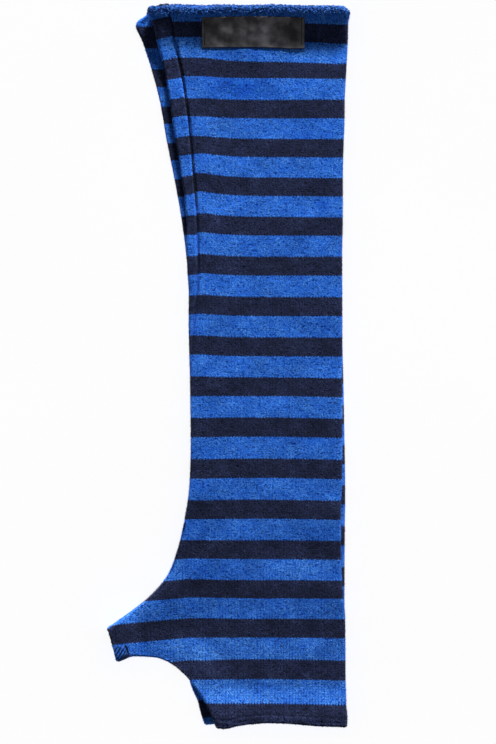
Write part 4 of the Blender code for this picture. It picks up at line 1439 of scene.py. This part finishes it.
def striped_yarn(w, cloth, stitches, curls):
    """The colour of the yarn at a place on the cloth, from the stripe that its row lies in."""
    marks = {name: curls.outputs[name] for name in ("Curls", "Hollows", "Fine", "Nap")}
    along = w.xyz(cloth)[1]
    turned = w.group(TURNED_EDGE, Normal=w.node("NewGeometry").outputs["Normal"])
    # Painted shade for the faces that turn over the arm's fold
    at_fold = w.ramp(along, *ARM_FOLD, 1.0, 0.0)
    marks["Turned"] = w.times(turned.outputs[0], at_fold)
    # Painted shade in the furrows between stitches, where the plush thins
    thin = w.ramp(along, *THIN_PLUSH, 0.25, 0.85)
    marks["Furrow"] = w.times(stitches.outputs["Furrow"], thin)
    # Painted highlights on the stitches' tops, where the plush is bare
    dots = w.ramp(stitches.outputs["Height"], 0.60, 0.95, 0.0, 0.9)
    bare = w.ramp(along, *BARE_PLUSH)
    marks["Curls"] = w.plus(marks["Curls"], w.times(dots, bare))
    blue = w.group(MELANGE, **marks)
    navy = w.group(MELANGE, Yarn=NAVY, Shade=NAVY_SHADE, Fibre=NAVY_FIBRE, Edge=FOLD_NAVY_PAINTED_SHADE, **marks)
    return in_stripe(w, stitches, blue.outputs[0], navy.outputs[0])


def plush_knit():
    """The striped plush of both warmers: stitches, mottled yarn and a soft nap."""
    material, w, shader = new_material(
        "plush_knit", Roughness=0.95, Sheen_Weight=0.10, Sheen_Roughness=0.5,
        Sheen_Tint=BLUE_SHEEN, Specular_IOR_Level=0.10,
    )
    cloth = w.cloth()
    stitches = w.group(STITCHES, Cloth=cloth)
    curls = w.group(CURLS, Cloth=cloth)
    w.feed(shader.inputs["Base Color"], striped_yarn(w, cloth, stitches, curls))
    knit = w.times(stitches.outputs["Height"], 0.22)
    w.bump(shader, w.plus(curls.outputs["Height"], knit), PLUSH_DEPTH * MM)
    return material


def loose_fibre(name, blue, light_blue, navy, light_navy):
    """Curls and loose fibres of the plush, each in the colour of its stripe."""
    material, w, shader = new_material(
        name, Roughness=0.9, Sheen_Weight=0.15, Sheen_Roughness=0.5,
        Sheen_Tint=BLUE_SHEEN, Specular_IOR_Level=0.15,
    )
    cloth = w.cloth()
    stitches = w.group(STITCHES, Cloth=cloth)
    shade = w.ramp(w.noise(cloth, 900.0, 2.0, 0.6), 0.40, 0.60)
    in_blue = w.mix(shade, blue, light_blue)
    in_navy = w.mix(shade, navy, light_navy)
    w.feed(shader.inputs["Base Color"], in_stripe(w, stitches, in_blue, in_navy))
    return material


def sewing_thread(name, dark, light):
    """A twisted thread."""
    material, w, shader = new_material(
        name, Roughness=0.8, Sheen_Weight=0.05, Specular_IOR_Level=0.08
    )
    place = w.node("TexCoord").outputs["Object"]
    wave = w.node("TexWave", wave_type="BANDS", bands_direction="DIAGONAL")
    w.feed(wave.inputs["Vector"], place)
    wave.inputs["Scale"].default_value = 900.0
    wave.inputs["Distortion"].default_value = 1.5
    twist = w.times(wave.outputs["Fac"], w.noise(place, 1500.0))
    w.feed(shader.inputs["Base Color"], w.mix(w.ramp(twist, 0.1, 0.5), dark, light))
    w.bump(shader, wave.outputs["Fac"], THREAD_DEPTH * MM)
    return material


def label_satin():
    """The label's woven satin."""
    material, w, shader = new_material(
        "label_satin", Roughness=0.6, Specular_IOR_Level=0.10, Sheen_Weight=0.1, Anisotropic=0.3,
    )
    weave = w.group(SATIN_WEAVE, Cloth=w.cloth())
    normal = w.node("NewGeometry").outputs["Normal"]
    # Painted shade darkens the label's upright edges
    turned = w.group(TURNED_EDGE, Normal=normal, Upright=0.25, Level=0.95)
    # Painted sheen: the satin turns lighter in cloudy patches and on its ribs' tops
    satin = w.mix(weave.outputs["Tone"], SATIN, SATIN_PAINTED_SHEEN)
    w.feed(shader.inputs["Base Color"], with_tone_and_painted_light(w, w.mix(turned.outputs[0], satin, SATIN_EDGE_SHADE)))
    w.feed(shader.inputs["Roughness"], w.ramp(weave.outputs["Tone"], 0.2, 1.0, 0.65, 0.55))
    w.bump(shader, weave.outputs["Height"], SATIN_DEPTH * MM)
    return material


def pale_floor():
    """A plain matt white floor."""
    material, w, shader = new_material("pale_floor", Roughness=0.9, Specular_IOR_Level=0.1)
    faint = w.noise(w.node("TexCoord").outputs["Object"], 3.0)
    colour = w.mix(w.ramp(faint, 0.3, 0.7), FLOOR_WHITE, FLOOR_SHADE)
    w.feed(shader.inputs["Base Color"], colour)
    return material


# ================================================================ the studio
FLOOR_SIDE = 4.0
CAMERA_HEIGHT = 5.0
VIEW_HEIGHT = 0.5140  # how much of the floor the camera takes in along Y
VIEW_MIDDLE = (0.013455, -0.003795)
SENSOR = 36.0
FLOOR_GAP = 0.0002
KEY_ELEVATION = 14.5
KEY_AZIMUTH = 9.0  # turned from +Y towards +X
KEY_DISTANCE = 3.0
KEY_SIZE, KEY_POWER = (0.7, 0.27), 252.0
OVERHEAD_PLACE = (0.0, 0.0, 2.2)
OVERHEAD_SIZE, OVERHEAD_POWER = (2.4, 2.4), 2.0
FLOOR_LIGHT_POWER, FLOOR_LIGHT_SPREAD = 2.99, 6.0  # of the sun that lights the floor alone
WORLD_STRENGTH = 0.112


def area_light(name, place, size, power):
    """A soft box that faces the pair."""
    light = bpy.data.lights.new(name, "AREA")
    light.shape = "RECTANGLE"
    light.size, light.size_y = size
    light.energy = power
    made = bpy.data.objects.new(name, light)
    made.location = place
    way = Vector() - Vector(place)
    made.rotation_euler = way.to_track_quat("-Z", "Y").to_euler()
    bpy.context.scene.collection.objects.link(made)
    return made


def studio():
    """The floor, the lights and the camera."""
    scene = bpy.context.scene
    scene.view_settings.view_transform = "Standard"
    data = bpy.data.meshes.new("floor")
    corners = [(FLOOR_SIDE * x, FLOOR_SIDE * y, 0) for x, y in ((-1, -1), (1, -1), (1, 1), (-1, 1))]
    data.from_pydata(corners, [], [(0, 1, 2, 3)])
    floor = new_object("floor", data, pale_floor(), smooth=False)
    floor.location.z = -FLOOR_GAP
    floor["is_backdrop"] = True

    camera = bpy.data.cameras.new("camera")
    camera.sensor_width = SENSOR
    camera.lens = SENSOR * CAMERA_HEIGHT / VIEW_HEIGHT
    camera.clip_end = 20.0
    eye = bpy.data.objects.new("camera", camera)
    eye.location = (*VIEW_MIDDLE, CAMERA_HEIGHT)
    scene.collection.objects.link(eye)
    scene.camera = eye

    world = bpy.data.worlds.new("world")
    world.use_nodes = True
    background = world.node_tree.nodes["Background"].inputs
    background["Color"].default_value = (1.0, 1.0, 1.0, 1.0)
    background["Strength"].default_value = WORLD_STRENGTH
    scene.world = world

    up, turn = math.radians(KEY_ELEVATION), math.radians(KEY_AZIMUTH)
    key_place = [
        KEY_DISTANCE * math.cos(up) * math.sin(turn),
        KEY_DISTANCE * math.cos(up) * math.cos(turn),
        KEY_DISTANCE * math.sin(up),
    ]
    key = area_light("key", key_place, KEY_SIZE, KEY_POWER)
    overhead = area_light("overhead", OVERHEAD_PLACE, OVERHEAD_SIZE, OVERHEAD_POWER)
    sun = bpy.data.lights.new("floor_light", "SUN")
    sun.energy = FLOOR_LIGHT_POWER
    sun.angle = math.radians(FLOOR_LIGHT_SPREAD)
    floor_light = bpy.data.objects.new("floor_light", sun)
    scene.collection.objects.link(floor_light)
    only_floor = bpy.data.collections.new("lit_floor")
    only_floor.objects.link(floor)
    floor_light.light_linking.receiver_collection = only_floor
    only_cloth = bpy.data.collections.new("lit_cloth")
    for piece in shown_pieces():
        only_cloth.objects.link(piece)
    for light in (key, overhead):
        light.light_linking.receiver_collection = only_cloth


# ================================================================ the pair
RIM_DEPTH = 6.0  # how far from the arm opening its loops grow
HAND_RIM_DEPTH, THUMB_RIM_DEPTH = 2.5, 2.0
ARM_FUZZ_DEPTH = 3.0  # the arm's fold has fuzz of its own this far in


def at_arm_rim(place, normal):
    """Faces round the fold at the arm opening, where the plush opens into loops."""
    shown = np.where(normal[:, 2] > -0.4, 1.0, 0.35)
    return (ARM_EDGE - place[:, 1] < RIM_DEPTH) * np.maximum(normal[:, 1] + 0.9, 0.15) * shown


def at_other_rims(place, _normal):
    """Faces round the hand opening and the thumb hole."""
    at_hand = place[:, 1] - HAND_EDGE < HAND_RIM_DEPTH
    at_thumb = thumb_mouth_distance(place[:, 0], place[:, 1]) < THUMB_RIM_DEPTH
    return (at_hand | at_thumb) * 1.0


def facing_up(place, normal):
    """The faces that look up, but for the fold at the arm opening."""
    return np.maximum(normal[:, 2], 0.0) * (place[:, 1] < ARM_EDGE - ARM_FUZZ_DEPTH)


def at_sides(place, normal):
    """The cloth's folds and edges, which show against the floor."""
    upright = np.maximum(1 - np.abs(normal[:, 2]), 0.0) ** 2
    return upright * (normal[:, 2] > -0.5) * (place[:, 1] < ARM_EDGE - ARM_FUZZ_DEPTH)


def at_arm_edge(place, normal):
    """The outermost faces of the fold at the arm opening."""
    return (place[:, 1] > ARM_EDGE - ARM_FUZZ_DEPTH) * np.maximum(normal[:, 1], 0.0)


def plush_pieces(cloth, warmer, face_fibre, shaded_loop_fibre):
    """The loops and the fuzz on one warmer."""
    whole = 1.0 if warmer.under else LOWER_SHARE

    def spots(growth, wanted):
        return scattered(cloth, round(growth.count * whole), growth.place_seed + warmer.under, wanted)

    rim, edges = spots(RIM_LOOPS, at_arm_rim), spots(EDGE_LOOPS, at_other_rims)
    face, sides = spots(FACE_CURLS, facing_up), spots(SIDE_FUZZ, at_sides)
    rim_sides = spots(RIM_FUZZ, at_arm_edge)
    sunk = np.interp(rim.normal[:, 1], *RIM_SINK)[:, None, None]
    name = warmer.name
    return [
        curls(f"{name}_rim_loops", rim, RIM_LOOPS, shaded_loop_fibre, bends=6, tilt=(20, 70), sink=sunk),
        curls(f"{name}_edge_loops", edges, EDGE_LOOPS, face_fibre, tilt=(25, 70), sink=0.45),
        curls(f"{name}_curls", face, FACE_CURLS, face_fibre, bends=6, sides=3, tilt=(0, 18)),
        fibres(f"{name}_fuzz", sides, SIDE_FUZZ, face_fibre),
        fibres(f"{name}_rim_fuzz", rim_sides, RIM_FUZZ, shaded_loop_fibre),
    ]


def dress():
    """Makes every piece, says what it rides on, and hides the parts of the model that the pieces stand
    for.
    """
    knit, satin = plush_knit(), label_satin()
    face_fibre = loose_fibre("face_fibre", BLUE, BLUE_FIBRE, NAVY, NAVY_FIBRE)
    # A darker copy of the yarns: painted shade for the loops and fuzz round the arm's fold
    shaded_loop_fibre = loose_fibre("shaded_loop_fibre", SHADED_LOOP_BLUE, SHADED_LOOP_BLUE_FIBRE, SHADED_LOOP_NAVY, SHADED_LOOP_NAVY_FIBRE)
    thread = sewing_thread("navy_thread", THREAD, NAVY)
    black = sewing_thread("black_thread", BLACK_THREAD, BLACK_THREAD_LIGHT)
    lower, upper = warmer_cloth(LOWER, knit), warmer_cloth(UPPER, knit)
    label = woven_label(satin)
    sewing = {
        warmer.name: plush_pieces(cloth, warmer, face_fibre, shaded_loop_fibre) + [
            hand_hem_stitches(warmer, thread),
            arm_hem_stitches(warmer, thread),
            thumb_overlock(warmer, thread),
        ]
        for warmer, cloth in ((LOWER, lower), (UPPER, upper))
    }
    sewing["upper_warmer"] += [seam_thread_and_shade(UPPER, black), fold_tufts(UPPER, thread)]
    end_stitches = label_stitches(black)
    for piece in (lower, upper, *sewing["lower_warmer"], *sewing["upper_warmer"]):
        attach(piece, "root")
    for piece in (label, end_stitches):
        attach(piece, "root")
    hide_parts("lower_back", "lower_front")
    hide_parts("upper_back", "upper_front")
    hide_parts("label")


dress()
studio()
